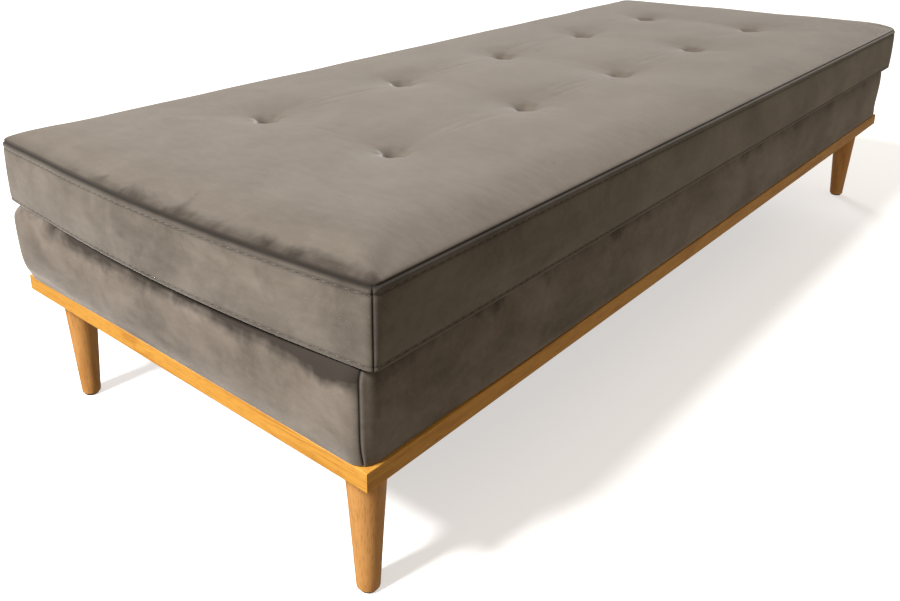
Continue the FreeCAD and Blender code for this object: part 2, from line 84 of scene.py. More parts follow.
# %% Camera
CAMERA_PLACE = Vector((-1.578, -0.953, 0.854))
CAMERA_AZIMUTH, CAMERA_DIP, CAMERA_ROLL = -0.8353, 0.3184, -0.0089
SENSOR_WIDTH, FOCAL_LENGTH = 36, 35.0
SHIFT_X, SHIFT_Y = 0.0637, -0.152


def camera_turn():
    """The camera's axes as the columns of a matrix: right, up and backward."""
    forward = Vector((-math.sin(CAMERA_AZIMUTH) * math.cos(CAMERA_DIP),
                      math.cos(CAMERA_AZIMUTH) * math.cos(CAMERA_DIP), -math.sin(CAMERA_DIP)))
    right = forward.cross(Vector((0, 0, 1))).normalized()
    up = right.cross(forward)
    cosine, sine = math.cos(CAMERA_ROLL), math.sin(CAMERA_ROLL)
    rolled_right, rolled_up = cosine * right + sine * up, cosine * up - sine * right
    return Matrix((rolled_right, rolled_up, -forward)).transposed()


lens = bpy.data.cameras.new("camera")
lens.sensor_width, lens.lens = SENSOR_WIDTH, FOCAL_LENGTH
lens.shift_x, lens.shift_y = SHIFT_X, SHIFT_Y
camera = bpy.data.objects.new("camera", lens)
camera.matrix_world = Matrix.Translation(CAMERA_PLACE) @ camera_turn().to_4x4()
scene.collection.objects.link(camera)
scene.camera = camera
print("camera at", [round(c, 3) for c in CAMERA_PLACE])

# %% [markdown]
# # Floor and light
# A plain pale floor and soft light keep the eye on the bed. One wide lamp from the left lights the
# short end and the top, and the long front stays in soft shade, so the corner reads as a corner. A
# faint lamp from behind shapes the far sides for the other views. The floor gives no light back, or
# the shaded side would lose its depth.

# %% Floor
FLOOR_HALF = 30
FLOOR_LOOK = {"Base Color": (0.62, 0.62, 0.62, 1), "Roughness": 0.9, "Specular IOR Level": 0.1,
              "Emission Color": (1, 1, 1, 1), "Emission Strength": 0.55}

floor_bm = bmesh.new()
bmesh.ops.create_grid(floor_bm, x_segments=1, y_segments=1, size=FLOOR_HALF)
floor_mesh = bpy.data.meshes.new("floor")
floor_bm.to_mesh(floor_mesh)
floor_bm.free()
floor = bpy.data.objects.new("floor", floor_mesh)
scene.collection.objects.link(floor)
floor.visible_diffuse = floor.visible_glossy = False

floor_paint = bpy.data.materials.new("floor_paint")
floor_paint.use_nodes = True
floor_shader = floor_paint.node_tree.nodes["Principled BSDF"]
for socket, value in FLOOR_LOOK.items():
    floor_shader.inputs[socket].default_value = value
floor_mesh.materials.append(floor_paint)
print("floor", floor.dimensions.x, "m wide")

# %% Lamps and surroundings
SKY_COLOUR, SKY_STRENGTH = (1.0, 0.86, 0.68, 1), 0.50


def lamp(name, place, target, size, power, colour):
    light = bpy.data.lights.new(name, "AREA")
    light.shape = "DISK"
    light.size, light.energy, light.color = size, power, colour
    holder = bpy.data.objects.new(name, light)
    aim = (Vector(target) - Vector(place)).to_track_quat("-Z", "Y")
    holder.matrix_world = Matrix.Translation(Vector(place)) @ aim.to_matrix().to_4x4()
    scene.collection.objects.link(holder)


lamp("key_lamp", (-5.0, 0.6, 4.8), (0, 0, 0.35), 1.3, 1150, (1.0, 0.98, 0.955))
lamp("back_lamp", (4.6, 4.2, 2.4), (0, 0, 0.3), 2.5, 170, (0.93, 0.96, 1.0))
surroundings = bpy.data.worlds.new("surroundings")
surroundings.use_nodes = True
sky = surroundings.node_tree.nodes["Background"]
sky.inputs["Color"].default_value, sky.inputs["Strength"].default_value = SKY_COLOUR, SKY_STRENGTH
scene.world = surroundings
scene.view_settings.view_transform = "Standard"

# %% [markdown]
# # Finishes
# Each finish is a small net of texture nodes. The nets share a few helpers: one that starts a
# material, one that gives it coordinates in metres, and one each for a noise, a colour ramp, a mix
# and a bump. Coordinates come from the object, so a pattern keeps its real scale: wood fibres are
# about a millimetre apart and velvet pile is finer.


# %% Node helpers
class Finish:
    """A material being built: its shader and the nodes that feed it."""

    def __init__(self, name, **settings):
        self.material = bpy.data.materials.new(name)
        self.material.use_nodes = True
        self.nodes, self.links = self.material.node_tree.nodes, self.material.node_tree.links
        self.shader = self.nodes["Principled BSDF"]
        for socket, value in settings.items():
            self.shader.inputs[socket.replace("_", " ")].default_value = value
        self.metres = self.nodes.new("ShaderNodeTexCoord").outputs["Object"]

    def feed(self, socket, value):
        if hasattr(value, "is_output"):
            self.links.new(value, socket)
        else:
            socket.default_value = value

    def stretched(self, scale, turn=(0, 0, 0)):
        node = self.nodes.new("ShaderNodeMapping")
        self.links.new(self.metres, node.inputs["Vector"])
        node.inputs["Scale"].default_value = scale
        node.inputs["Rotation"].default_value = turn
        return node.outputs["Vector"]

    def noise(self, vector, scale, detail=2.0, rough=0.5, distortion=0.0):
        node = self.nodes.new("ShaderNodeTexNoise")
        self.links.new(vector, node.inputs["Vector"])
        for socket, value in (("Scale", scale), ("Detail", detail), ("Roughness", rough),
                              ("Distortion", distortion)):
            node.inputs[socket].default_value = value
        return node.outputs["Fac"]

    def ramp(self, factor, *stops):
        node = self.nodes.new("ShaderNodeValToRGB")
        self.links.new(factor, node.inputs["Fac"])
        while len(node.color_ramp.elements) < len(stops):
            node.color_ramp.elements.new(0.5)
        for element, (place, colour) in zip(node.color_ramp.elements, stops):
            element.position = place
            element.color = (*colour, 1) if isinstance(colour, tuple) else (colour, colour, colour, 1)
        return node.outputs["Color"]

    def mix(self, factor, first, second, kind="MIX"):
        node = self.nodes.new("ShaderNodeMix")
        node.data_type, node.blend_type = "RGBA", kind
        self.feed(node.inputs["Factor"], factor)
        sockets = [s for s in node.inputs if s.type == "RGBA"]
        for socket, value in zip(sockets, (first, second)):
            self.feed(socket, (*value, 1) if isinstance(value, tuple) else value)
        return [s for s in node.outputs if s.type == "RGBA"][0]

    def maths(self, kind, *values):
        node = self.nodes.new("ShaderNodeMath")
        node.operation = kind
        for socket, value in zip(node.inputs, values):
            self.feed(socket, value)
        return node.outputs["Value"]

    def attribute(self, name):
        node = self.nodes.new("ShaderNodeAttribute")
        node.attribute_name = name
        return node.outputs["Fac"]

    def colour(self, value):
        self.feed(self.shader.inputs["Base Color"], value)

    def bump(self, height, depth, strength):
        node = self.nodes.new("ShaderNodeBump")
        node.inputs["Strength"].default_value = strength
        node.inputs["Distance"].default_value = depth
        self.links.new(height, node.inputs["Height"])
        self.links.new(node.outputs["Normal"], self.shader.inputs["Normal"])


print("node helpers ready")

# %% [markdown]
# # Velvet
# Upholstery velvet is a woven cloth with a cut pile about a millimetre high. The top panel of the mattress
# is painted a little darker than its sides, as a painted shade for the way the light falls on it. Hands
# and handling leave soft clouds, short brushed strokes and a few light specks of lint. Beside a seam the
# pile is pressed and darker, and the thin darkest line right at the seam is painted shade for its groove.
# Noises of several sizes make the clouds, the strokes, the pile and the lint. Sheen gives the pale glow
# at grazing angles. Four numbers on each point of a cover steer the rest. `seam_gap`, the distance from
# the nearest seam, darkens the pressed strip with its painted seam shade and puckers it with a fine
# slanted wave, and `stitch_gap` darkens the thin line under a row of stitches. A third number says how
# strong the clouds are and how much painted shade darkens the top. A fourth says where a dark band with a
# ragged edge is painted: on the box it is a painted shadow under the overhang of the mattress, and on
# the mattress top near its left end it is a darker band.

# %% Velvet
VELVET_SHEEN = 0.36
# The colour of the dark band painted on the covers. On the box it is painted shadow under the mattress's
# overhang.
DARK_BAND_COLOUR = (0.020, 0.016, 0.013)


def velvet(name, deep, middle, pale, seams=True):
    cloth = Finish(name, Roughness=0.92, Specular_IOR_Level=0.12, Sheen_Weight=VELVET_SHEEN,
                   Sheen_Roughness=0.38, Sheen_Tint=(0.80, 0.78, 0.76, 1))
    clouds = cloth.noise(cloth.stretched((1.0, 1.4, 1.6), (0.2, 0.1, 0.5)), 7.0, 4.0, 0.62, 0.35)
    if seams:
        clouds = cloth.maths("MULTIPLY", cloth.maths("SUBTRACT", clouds, 0.5), cloth.attribute("nap_and_top_shade"))
        clouds = cloth.maths("ADD", clouds, 0.5)
    strokes = cloth.noise(cloth.stretched((1.0, 0.28, 1.0), (0, 0, 0.12)), 95.0, 3.0, 0.6, 0.2)
    pile = cloth.noise(cloth.metres, 1150.0, 1.0)
    specks = cloth.ramp(cloth.noise(cloth.metres, 420.0, 0.0), (0.775, 0.0), (0.80, 1.0))
    shade = cloth.ramp(clouds, (0.32, deep), (0.50, middle), (0.68, pale))
    shade = cloth.mix(0.20, shade, cloth.ramp(strokes, (0.30, deep), (0.70, pale)))
    shade = cloth.mix(0.22, shade, cloth.ramp(pile, (0.30, deep), (0.70, pale)), "OVERLAY")
    shade = cloth.mix(cloth.maths("MULTIPLY", specks, 0.35), shade, pale)
    height = pile
    if seams:
        gap = cloth.attribute("seam_gap")
        # Pressed pile darkens a strip beside a seam. The thin darkest line right at the seam is painted shade
        # for its groove.
        pressed_pile_and_seam_shade = cloth.ramp(gap, (0.0, 0.10), (0.0006, 0.14), (0.0016, 0.66), (0.0090, 0.86), (0.022, 1.0))
        shade = cloth.mix(1.0, shade, pressed_pile_and_seam_shade, "MULTIPLY")
        stitched = cloth.ramp(cloth.attribute("stitch_gap"), (0.0002, 0.62), (0.0010, 1.0))
        shade = cloth.mix(1.0, shade, stitched, "MULTIPLY")
        # Painted shade: the mattress's top panel is painted darker than its sides, for the way the light
        # falls on it.
        painted_top_shade = cloth.ramp(cloth.attribute("nap_and_top_shade"), (0.40, 0.87), (0.90, 1.0))
        shade = cloth.mix(1.0, shade, painted_top_shade, "MULTIPLY")
        # A dark band with a ragged edge is painted in. On the box it is painted shadow under the mattress's
        # overhang, and near the left end of the mattress top it is a darker band.
        band_edge_noise = cloth.noise(cloth.stretched((1.0, 1.0, 0.7)), 19.0, 3.0, 0.6, 0.4)
        ragged = cloth.maths("MULTIPLY_ADD", band_edge_noise, 1.6, -0.8)
        dark_band = cloth.maths("ADD", cloth.attribute("dark_band"), ragged)
        dark_band = cloth.ramp(dark_band, (0.25, 0.0), (0.85, 0.94))
        shade = cloth.mix(dark_band, shade, DARK_BAND_COLOUR)
        puckers = cloth.noise(cloth.stretched((1, 1, 0.45), (0.5, 0.5, 0.0)), 210.0, 2.0)
        near_seam = cloth.ramp(gap, (0.006, 1.0), (0.014, 0.0))
        height = cloth.mix(near_seam, pile, cloth.mix(0.8, pile, puckers))
    cloth.colour(shade)
    cloth.bump(height, 0.0006, 0.5)
    return cloth.material


mattress_velvet = velvet("mattress_velvet", (0.080, 0.067, 0.056), (0.120, 0.104, 0.088),
                         (0.160, 0.142, 0.122))
box_velvet = velvet("box_velvet", (0.080, 0.066, 0.055), (0.132, 0.112, 0.095), (0.180, 0.157, 0.135))
button_velvet = velvet("button_velvet", (0.060, 0.050, 0.041), (0.090, 0.078, 0.065), (0.12, 0.105, 0.09),
                       seams=False)
print("velvets", mattress_velvet.name, box_velvet.name, button_velvet.name)

# %% [markdown]
# # Wood
# Oak shows long fibres, darker growth bands that wander along the board, and short open pores like
# pencil dashes. The same net serves every wood here: noises stretched along the grain, one broad for
# the bands, one fine for the fibres and one cut hard for the pores. The coordinates are squeezed
# along the grain, whichever way it runs.

# %% Wood
QUARTER = math.pi / 2


def wood(name, grain, early, late, pore, pore_depth=0.0004, gloss=0.5):
    timber = Finish(name, Roughness=gloss, Specular_IOR_Level=0.2)

    def drawn_out(along, across):
        return timber.stretched([along if axis == grain else across for axis in "xyz"])

    broad = timber.noise(drawn_out(0.55, 6.0), 6.5, 3.0, 0.55, 0.9)
    fibre = timber.noise(drawn_out(0.035, 1.0), 420.0, 3.0, 0.6)
    dashes = timber.noise(drawn_out(0.05, 1.0), 900.0, 1.0)
    pores = timber.ramp(dashes, (0.60, 0.0), (0.68, 1.0))
    bands = timber.ramp(broad, (0.36, late), (0.47, early), (0.56, early), (0.64, late))
    shade = timber.mix(0.35, bands, timber.ramp(fibre, (0.30, late), (0.62, early)))
    shade = timber.mix(timber.maths("MULTIPLY", pores, 0.40), shade, pore)
    timber.colour(shade)
    timber.bump(timber.mix(0.6, fibre, timber.ramp(dashes, (0.60, 1.0), (0.68, 0.0))), pore_depth, 0.5)
    return timber.material


BAND_OAK = ((0.41, 0.203, 0.034), (0.30, 0.128, 0.016), (0.14, 0.052, 0.007))
LEG_OAK = ((0.41, 0.205, 0.064), (0.31, 0.138, 0.037), (0.15, 0.060, 0.016))
oak_lengthwise = wood("oak_lengthwise", "x", *BAND_OAK)
oak_crosswise = wood("oak_crosswise", "y", *BAND_OAK)
oak_upright = wood("oak_upright", "z", *LEG_OAK)
pine = {axis: wood("softwood_" + axis, axis, (0.62, 0.44, 0.24), (0.50, 0.31, 0.14), (0.40, 0.24, 0.10),
                   0.0002, 0.6) for axis in "xyz"}
birch = wood("birch_slat", "y", (0.66, 0.52, 0.34), (0.58, 0.43, 0.26), (0.42, 0.29, 0.16), 0.0002, 0.5)
print("woods", oak_lengthwise.name, oak_crosswise.name, oak_upright.name, birch.name)

# %% [markdown]
# # The inner materials
# Foam is a sponge of cells under a millimetre wide. Felt, wadding and the two plain cloths are
# fibres, some laid in all directions and some woven or pressed in a grid. Zinc plate is dull steel
# with faint cloudy spangles. They are seen when the mattress is lifted or the bed is turned over, so
# each has its own small net.


# %% Foam, fibres, cloths, metal and nylon
def sponge(name, shade, dark, cell):
    foam = Finish(name, Roughness=0.95, Specular_IOR_Level=0.1)
    cells = foam.noise(foam.metres, cell, 2.0, 0.7)
    foam.colour(foam.ramp(cells, (0.35, dark), (0.60, shade)))
    foam.bump(cells, 0.0008, 0.6)
    return foam.material


def fibres(name, shade, dark, size, sheen=0.3):
    mat = Finish(name, Roughness=0.95, Specular_IOR_Level=0.1, Sheen_Weight=sheen)
    laid = mat.noise(mat.stretched((1.0, 0.25, 1.0), (0, 0, 0.6)), size, 3.0, 0.7, 1.2)
    crossed = mat.noise(mat.stretched((0.25, 1.0, 1.0), (0, 0, 0.3)), size, 3.0, 0.7, 1.2)
    mixed = mat.mix(0.5, laid, crossed)
    mat.colour(mat.ramp(mixed, (0.35, dark), (0.65, shade)))
    mat.bump(mixed, 0.0006, 0.6)
    return mat.material


def woven(name, shade, dark, threads_per_metre):
    cloth = Finish(name, Roughness=0.85, Specular_IOR_Level=0.2)
    heights = []
    for turn in (0, QUARTER):
        wave = cloth.nodes.new("ShaderNodeTexWave")
        cloth.links.new(cloth.stretched((1, 1, 1), (0, 0, turn)), wave.inputs["Vector"])
        wave.inputs["Scale"].default_value = threads_per_metre / 20
        wave.inputs["Distortion"].default_value = 0.6
        wave.inputs["Detail Scale"].default_value = 3.0
        heights.append(wave.outputs["Fac"])
    weave = cloth.mix(0.5, *heights)
    slub = cloth.noise(cloth.metres, 60.0, 3.0)
    threads = cloth.ramp(weave, (0.2, dark), (0.8, shade))
    cloth.colour(cloth.mix(0.3, threads, cloth.ramp(slub, (0.3, dark), (0.7, shade))))
    cloth.bump(weave, 0.0003, 0.5)
    return cloth.material


def metal(name, shade, dark, rough, spangle):
    plate = Finish(name, Metallic=1.0)
    clouds = plate.noise(plate.metres, spangle, 3.0)
    plate.colour(plate.ramp(clouds, (0.35, dark), (0.65, shade)))
    plate.feed(plate.shader.inputs["Roughness"], plate.ramp(clouds, (0.3, rough + 0.1), (0.7, rough)))
    plate.bump(plate.noise(plate.metres, 900.0, 1.0), 0.0001, 0.3)
    return plate.material


def moulded(name, shade, dark, rough):
    nylon = Finish(name, Roughness=rough, Specular_IOR_Level=0.45)
    clouds = nylon.noise(nylon.metres, 45.0, 2.0)
    nylon.colour(nylon.ramp(clouds, (0.3, dark), (0.7, shade)))
    nylon.bump(nylon.noise(nylon.metres, 1600.0, 1.0), 0.00008, 0.4)
    return nylon.material


foam = sponge("mattress_foam", (0.80, 0.72, 0.50), (0.62, 0.54, 0.34), 900.0)
pad_foam = sponge("pad_foam", (0.74, 0.74, 0.72), (0.55, 0.55, 0.53), 800.0)
felt = fibres("needled_felt", (0.22, 0.21, 0.20), (0.10, 0.10, 0.095), 260.0)
lining_cloth = woven("lining_cloth", (0.085, 0.075, 0.066), (0.040, 0.035, 0.030), 900.0)
dust_cloth = fibres("dust_cloth", (0.022, 0.022, 0.022), (0.008, 0.008, 0.008), 320.0, 0.1)
zinc = metal("zinc_plate", (0.62, 0.63, 0.65), (0.45, 0.46, 0.48), 0.32, 140.0)
zip_metal = metal("zip_metal", (0.26, 0.23, 0.19), (0.16, 0.14, 0.11), 0.30, 260.0)
glide_nylon = moulded("glide_nylon", (0.030, 0.028, 0.026), (0.016, 0.015, 0.014), 0.5)
button_nylon = moulded("button_nylon", (0.060, 0.050, 0.042), (0.040, 0.034, 0.028), 0.42)
coil_nylon = moulded("coil_nylon", (0.075, 0.064, 0.052), (0.045, 0.038, 0.031), 0.40)
tape_cloth = woven("tape_cloth", (0.070, 0.060, 0.050), (0.035, 0.030, 0.025), 2200.0)
thread = fibres("sewing_thread", (0.13, 0.112, 0.094), (0.080, 0.068, 0.056), 1500.0, 0.3)
twine = fibres("tufting_twine", (0.55, 0.48, 0.36), (0.32, 0.27, 0.19), 900.0)
print("finishes", len(bpy.data.materials))

# %% [markdown]
# # Making and filing a piece
# Every new piece ends the same way: its mesh becomes an object at the origin, it gets its finish, it
# rides on a body of the model, and the solid nodes that it stands for are hidden. Pieces that are cut from
# a solid share two helpers more: a clean copy of its mesh, and a small bevel along its edges.

# %% Piece helpers
HAIR, MERGE_GAP = 1e-6, 1e-5


def keep_piece(name, bm, material, body, nodes=(), turn_out=False):
    """Make an object of a finished bmesh and file it with the model."""
    if turn_out:
        bmesh.ops.remove_doubles(bm, verts=bm.verts[:], dist=HAIR)
        bmesh.ops.recalc_face_normals(bm, faces=bm.faces[:])
    mesh = bpy.data.meshes.new(name)
    bm.to_mesh(mesh)
    bm.free()
    mesh.shade_smooth()
    mesh.materials.append(material)
    piece = bpy.data.objects.new(name, mesh)
    scene.collection.objects.link(piece)
    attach(piece, body)
    if nodes:
        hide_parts(*nodes)
    return piece


def sharp_by_angle(piece, degrees=35):
    """Keep edges crisp where two faces meet at more than this angle."""
    piece.data.set_sharp_from_angle(angle=math.radians(degrees))


def subdivided(piece):
    """Round a cover off by one step, the same in the view as in a render."""
    smooth = piece.modifiers.new("soften", "SUBSURF")
    smooth.levels = smooth.render_levels = 1
    smooth.boundary_smooth = "PRESERVE_CORNERS"


def whole_faces(node):
    """A copy of a solid's mesh: its points merged, its flat triangles dissolved into whole faces."""
    bm = bmesh.new()
    bm.from_mesh(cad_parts[node].data)
    bmesh.ops.remove_doubles(bm, verts=bm.verts[:], dist=MERGE_GAP)
    bmesh.ops.dissolve_limit(bm, angle_limit=math.radians(1), verts=bm.verts[:], edges=bm.edges[:])
    return bm


def ease_edges(bm, edges, reach, clamp=False):
    """Round the given edges over with a small bevel."""
    bmesh.ops.bevel(bm, geom=edges, offset=reach, affect="EDGES", segments=3, profile=0.5, material=-1,
                    clamp_overlap=clamp)


def step_between(low, high, value):
    """0 below low, 1 above high and a smooth rise between them."""
    part = min(max((value - low) / (high - low), 0.0), 1.0)
    return part * part * (3 - 2 * part)


def ripple(x, y, z, size, seed=0.0):
    """Smooth noise from -1 to 1 whose bumps are about size metres apart."""
    return noise.noise(Vector((x / size + seed, y / size, z / size)))


# %% [markdown]
# # Rows of quads in a block
# A sewn cover shows its seams only if the mesh has rows where the seams run. A cube is cut evenly
# along each direction with the subdivide operator, and then every row slides to the place it is
# wanted: close together beside seams and tufts, wide apart where the cloth is plain. Each point of a
# cover also carries a few numbers, four for the velvet and one that says how firmly it is held.

# %% Gridded block
COVER_ROW, TUFT_ROW, BOX_ROW = 0.015, 4.8 * mm, 0.018


def lines_along(low, high, edge_steps, row, centres=(), reach=0.0, extra=()):
    """Places for the rows in one direction, a row apart but closer within reach of the centres."""
    stops = {low + step for step in edge_steps} | {high - step for step in edge_steps} | set(extra)
    stops |= {centre + side * reach for centre in centres for side in (-1, 1)}
    stops = sorted(stops)
    lines = []
    for start, end in zip(stops, stops[1:]):
        middle = (start + end) / 2
        dense = any(abs(middle - centre) < reach for centre in centres)
        count = max(1, round((end - start) / (TUFT_ROW if dense else row)))
        lines += [start + (end - start) * i / count for i in range(count)]
    return lines + [stops[-1]]


def cover_layers(bm):
    """The numbers that each point of a cover carries: four for the velvet and one for the air."""
    return [bm.verts.layers.float.new(name) for name in ("seam_gap", "stitch_gap", "nap_and_top_shade", "dark_band", "held")]


def gridded_block(*directions):
    """A closed block of quads whose rows lie at the given places along x, y and z."""
    bm = bmesh.new()
    bmesh.ops.create_cube(bm, size=1.0)
    for axis, lines in enumerate(directions):
        edges = [e for e in bm.edges if abs(e.verts[0].co[axis] - e.verts[1].co[axis]) > 0.5]
        bmesh.ops.subdivide_edges(bm, edges=edges, cuts=len(lines) - 2, use_grid_fill=True)
    for vert in bm.verts:
        for axis, lines in enumerate(directions):
            vert.co[axis] = lines[round((vert.co[axis] + 0.5) * (len(lines) - 1))]
    return bm


def rounded_plan(x, y, half_x, half_y, radius):
    """Slide a point of a square corner on to a round one, and give the way out of the block there."""
    over_x, over_y = abs(x) - (half_x - radius), abs(y) - (half_y - radius)
    ahead, aside = Vector((math.copysign(1, x), 0)), Vector((0, math.copysign(1, y)))
    out = ahead if half_x - abs(x) < half_y - abs(y) else aside
    if over_x > 0 and over_y > 0:
        far = max(over_x, over_y)
        angle = math.pi / 4 * (over_y / over_x if over_x >= over_y else 2 - over_x / over_y)
        out = Vector((math.copysign(math.cos(angle), x), math.copysign(math.sin(angle), y)))
        x = math.copysign(half_x - radius + far * math.cos(angle), x)
        y = math.copysign(half_y - radius + far * math.sin(angle), y)
    return x, y, out


def from_table(rows, place):
    """Read a value between the rows of a short profile."""
    for (low, first), (high, second) in zip(rows, rows[1:]):
        if place <= high:
            return first + (second - first) * max(place - low, 0) / (high - low)
    return rows[-1][1]


# %% [markdown]
# # The mattress
# The real mattress is a foam slab in fibre wadding, inside a cover of three parts: a top panel, a
# boxing strip round the sides and a bottom panel. Each long seam is pressed and topstitched 9 mm
# below the top edge and 6 mm above the bottom one, so there is a thin valley, then a narrow ridge,
# then a row of stitches. The corners have an upright seam. Ten buttons are pulled down through the
# foam, and each sits out of sight in a pit with short pulls round it. The edge hangs a little over
# the box. It could be sculpted, or blown up from a plain slab. Here the rows are placed and shaped
# first, so seams are exact, and then a short cloth simulation with air pressure swells the free cloth
# between the held seams and buttons.

# %% Mattress rows
ZIP_HALF, ZIP_LIP = 0.750, 8 * mm
zip_height = (lower_seam + upper_seam) / 2
EDGE_STEPS = [step * mm for step in (0, 0.8, 2.4, 5.5, 10, 18, 28, 40)]
UPPER_ROWS = ((0, -2.2), (0.8, -0.2), (2.4, 0.9), (5.0, 1.0), (7.7, 0.3), (9.0, -0.8), (10.4, 0.3),
              (15.0, 0.6))
LOWER_ROWS = ((0, -1.4), (1.6, 0.4), (4.3, 0.6), (6.0, -0.7), (7.6, 0.4), (12.0, 0.5))
BOXING_BELLY = 1.6 * mm
TUFT_REACH = 38 * mm
UPPER_STITCH, LOWER_STITCH = 9.0 * mm, 6.0 * mm
ZIP_CLEAR = 22 * mm

tufts_x, tufts_y = sorted({x for x, y in tufts}), sorted({y for x, y in tufts})
zip_ends = [side * (ZIP_HALF + gap) for side in (-1, 1) for gap in (0, 2 * mm)]
mattress_x = lines_along(-half_long, half_long, EDGE_STEPS, COVER_ROW, tufts_x, TUFT_REACH, zip_ends)
mattress_y = lines_along(-half_wide, half_wide, EDGE_STEPS, COVER_ROW, tufts_y, TUFT_REACH)
zip_gaps = (0, ZIP_LIP - 0.2 * mm, ZIP_LIP + 1.8 * mm)
zip_rows = {zip_height + side * gap for side in (-1, 1) for gap in zip_gaps}
mattress_z = sorted({upper_seam - down * mm for down, _ in UPPER_ROWS} | zip_rows
                    | {lower_seam + up * mm for up, _ in LOWER_ROWS}
                    | {zip_height + side * ZIP_CLEAR for side in (-1, 1)})
mattress_bm = gridded_block(mattress_x, mattress_y, mattress_z)
print("mattress rows", len(mattress_x), len(mattress_y), len(mattress_z), "faces", len(mattress_bm.faces))

# %% Mattress form
TOP_CROWN = mattress_top - upper_seam + 2.5 * mm
SHOULDER = 48 * mm
SHOULDER_BEND, END_FULLNESS, SIDE_FULLNESS, CORNER_FULLNESS = 2.3, 0.56, 0.74, 4
CORNER_FLARE = 5 * mm
PLAN_ROUND = 9 * mm
PIT_DEPTH = mattress_top - button_low[2]
PIT_REACH, PIT_RIM, PIT_SLOPE = 0.13, 9.0 * mm, 8 * mm
HOLLOW_DEPTH, HOLLOW_REACH = 3.2 * mm, 48 * mm
PULL_HEIGHT, PULL_PLACE, PULL_WIDTH = 0.8 * mm, 26 * mm, 14 * mm
DECK_FLAT_X, DECK_FLAT_Y = box_high[0] - 12 * mm, box_high[1] - 12 * mm
EDGE_DROOP = 6.5 * mm
TOP_WAVE, TOP_WAVE_SIZE = 1.0 * mm, 0.16
BOXING_WAVE, BOXING_WAVE_SIZE = 0.9 * mm, 0.11
ZIP_RECESS = 2.5 * mm
CORNER_VALLEY = 2.4 * mm
BACK_DIMPLE = 8 * mm
SEAM_VALLEY, SEAM_LIP = -2.2 * mm, 1.1 * mm
LOWER_VALLEY, LOWER_LIP, LOWER_ROUND = -1.4 * mm, 1.8 * mm, 6 * mm
SEAM_HOLD, TUFT_HOLD, TUFT_FREE = 9 * mm, 15 * mm, 26 * mm
FAR_OFF = 0.05
# The first number weakens the clouds on the top and sets a painted shade that makes the top panel darker than
# its sides. The second is the strength of a darker band painted on the top near its left end.
TOP_NAP_AND_SHADE, TOP_DARK_BAND = 0.35, 0.68


def shoulder_rise(inside_x, inside_y):
    """How much of the crown stands at a place: full at the ends, gentler along the sides, softly joined."""
    end = max(1 - (1 - min(inside_x / SHOULDER, 1.0)) ** SHOULDER_BEND, 1e-6) ** END_FULLNESS
    side = max(1 - (1 - min(inside_y / SHOULDER, 1.0)) ** SHOULDER_BEND, 1e-6) ** SIDE_FULLNESS
    return (end ** -CORNER_FULLNESS + side ** -CORNER_FULLNESS - 1) ** (-1 / CORNER_FULLNESS)


def pit_drop(x, y):
    """How far the top is pulled down near a tuft, with short uneven pulls around it."""
    drop = 0.0
    for number, (tuft_x, tuft_y) in enumerate(tufts):
        away = math.hypot(x - tuft_x, y - tuft_y)
        if away > PIT_REACH:
            continue
        angle = math.atan2(y - tuft_y, x - tuft_x)
        wave = math.cos(7 * angle + number * 2.1) + 0.7 * math.cos(4 * angle - number * 1.3)
        funnel = PIT_DEPTH * math.exp(-(max(away - PIT_RIM, 0) / PIT_SLOPE) ** 1.05)
        wide = HOLLOW_DEPTH * math.exp(-(away / HOLLOW_REACH) ** 2)
        pulls = PULL_HEIGHT * wave * math.exp(-((away - PULL_PLACE) / PULL_WIDTH) ** 2)
        drop += funnel + wide + pulls
    return drop


def from_tuft(x, y):
    """How far the nearest tuft is."""
    return min(math.hypot(x - tuft_x, y - tuft_y) for tuft_x, tuft_y in tufts)


def edge_hang(x, y):
    """How much of the droop a place beyond the flat of the deck takes."""
    past_x = (abs(x) - DECK_FLAT_X) / (half_long + end_bow * (1 - (y / half_wide) ** 2) - DECK_FLAT_X)
    past_y = (abs(y) - DECK_FLAT_Y) / (half_wide - DECK_FLAT_Y)
    return min(max(past_x, past_y, 0.0), 1.0) ** 2


def hung_height(z):
    """The height at which a point of the boxing ends up, as its lower part droops over the box."""
    return z - EDGE_DROOP * step_between(0.25, 1.0, (upper_seam - z) / (upper_seam - lower_seam))


def boxing_out(z, corner_gap):
    """How far the boxing stands out at a height, with its stitched edges, its belly and the corner seam."""
    down, up = (upper_seam - z) / mm, (z - lower_seam) / mm
    out = from_table(UPPER_ROWS, down) if down < 15 else from_table(LOWER_ROWS, up) if up < 12 else 0.5
    height = min(max((z - lower_seam) / (upper_seam - lower_seam), 0), 1)
    out = out * mm + BOXING_BELLY * math.sin(math.pi * height)
    return out - CORNER_VALLEY * max(0.0, 1 - corner_gap / SEAM_LIP)


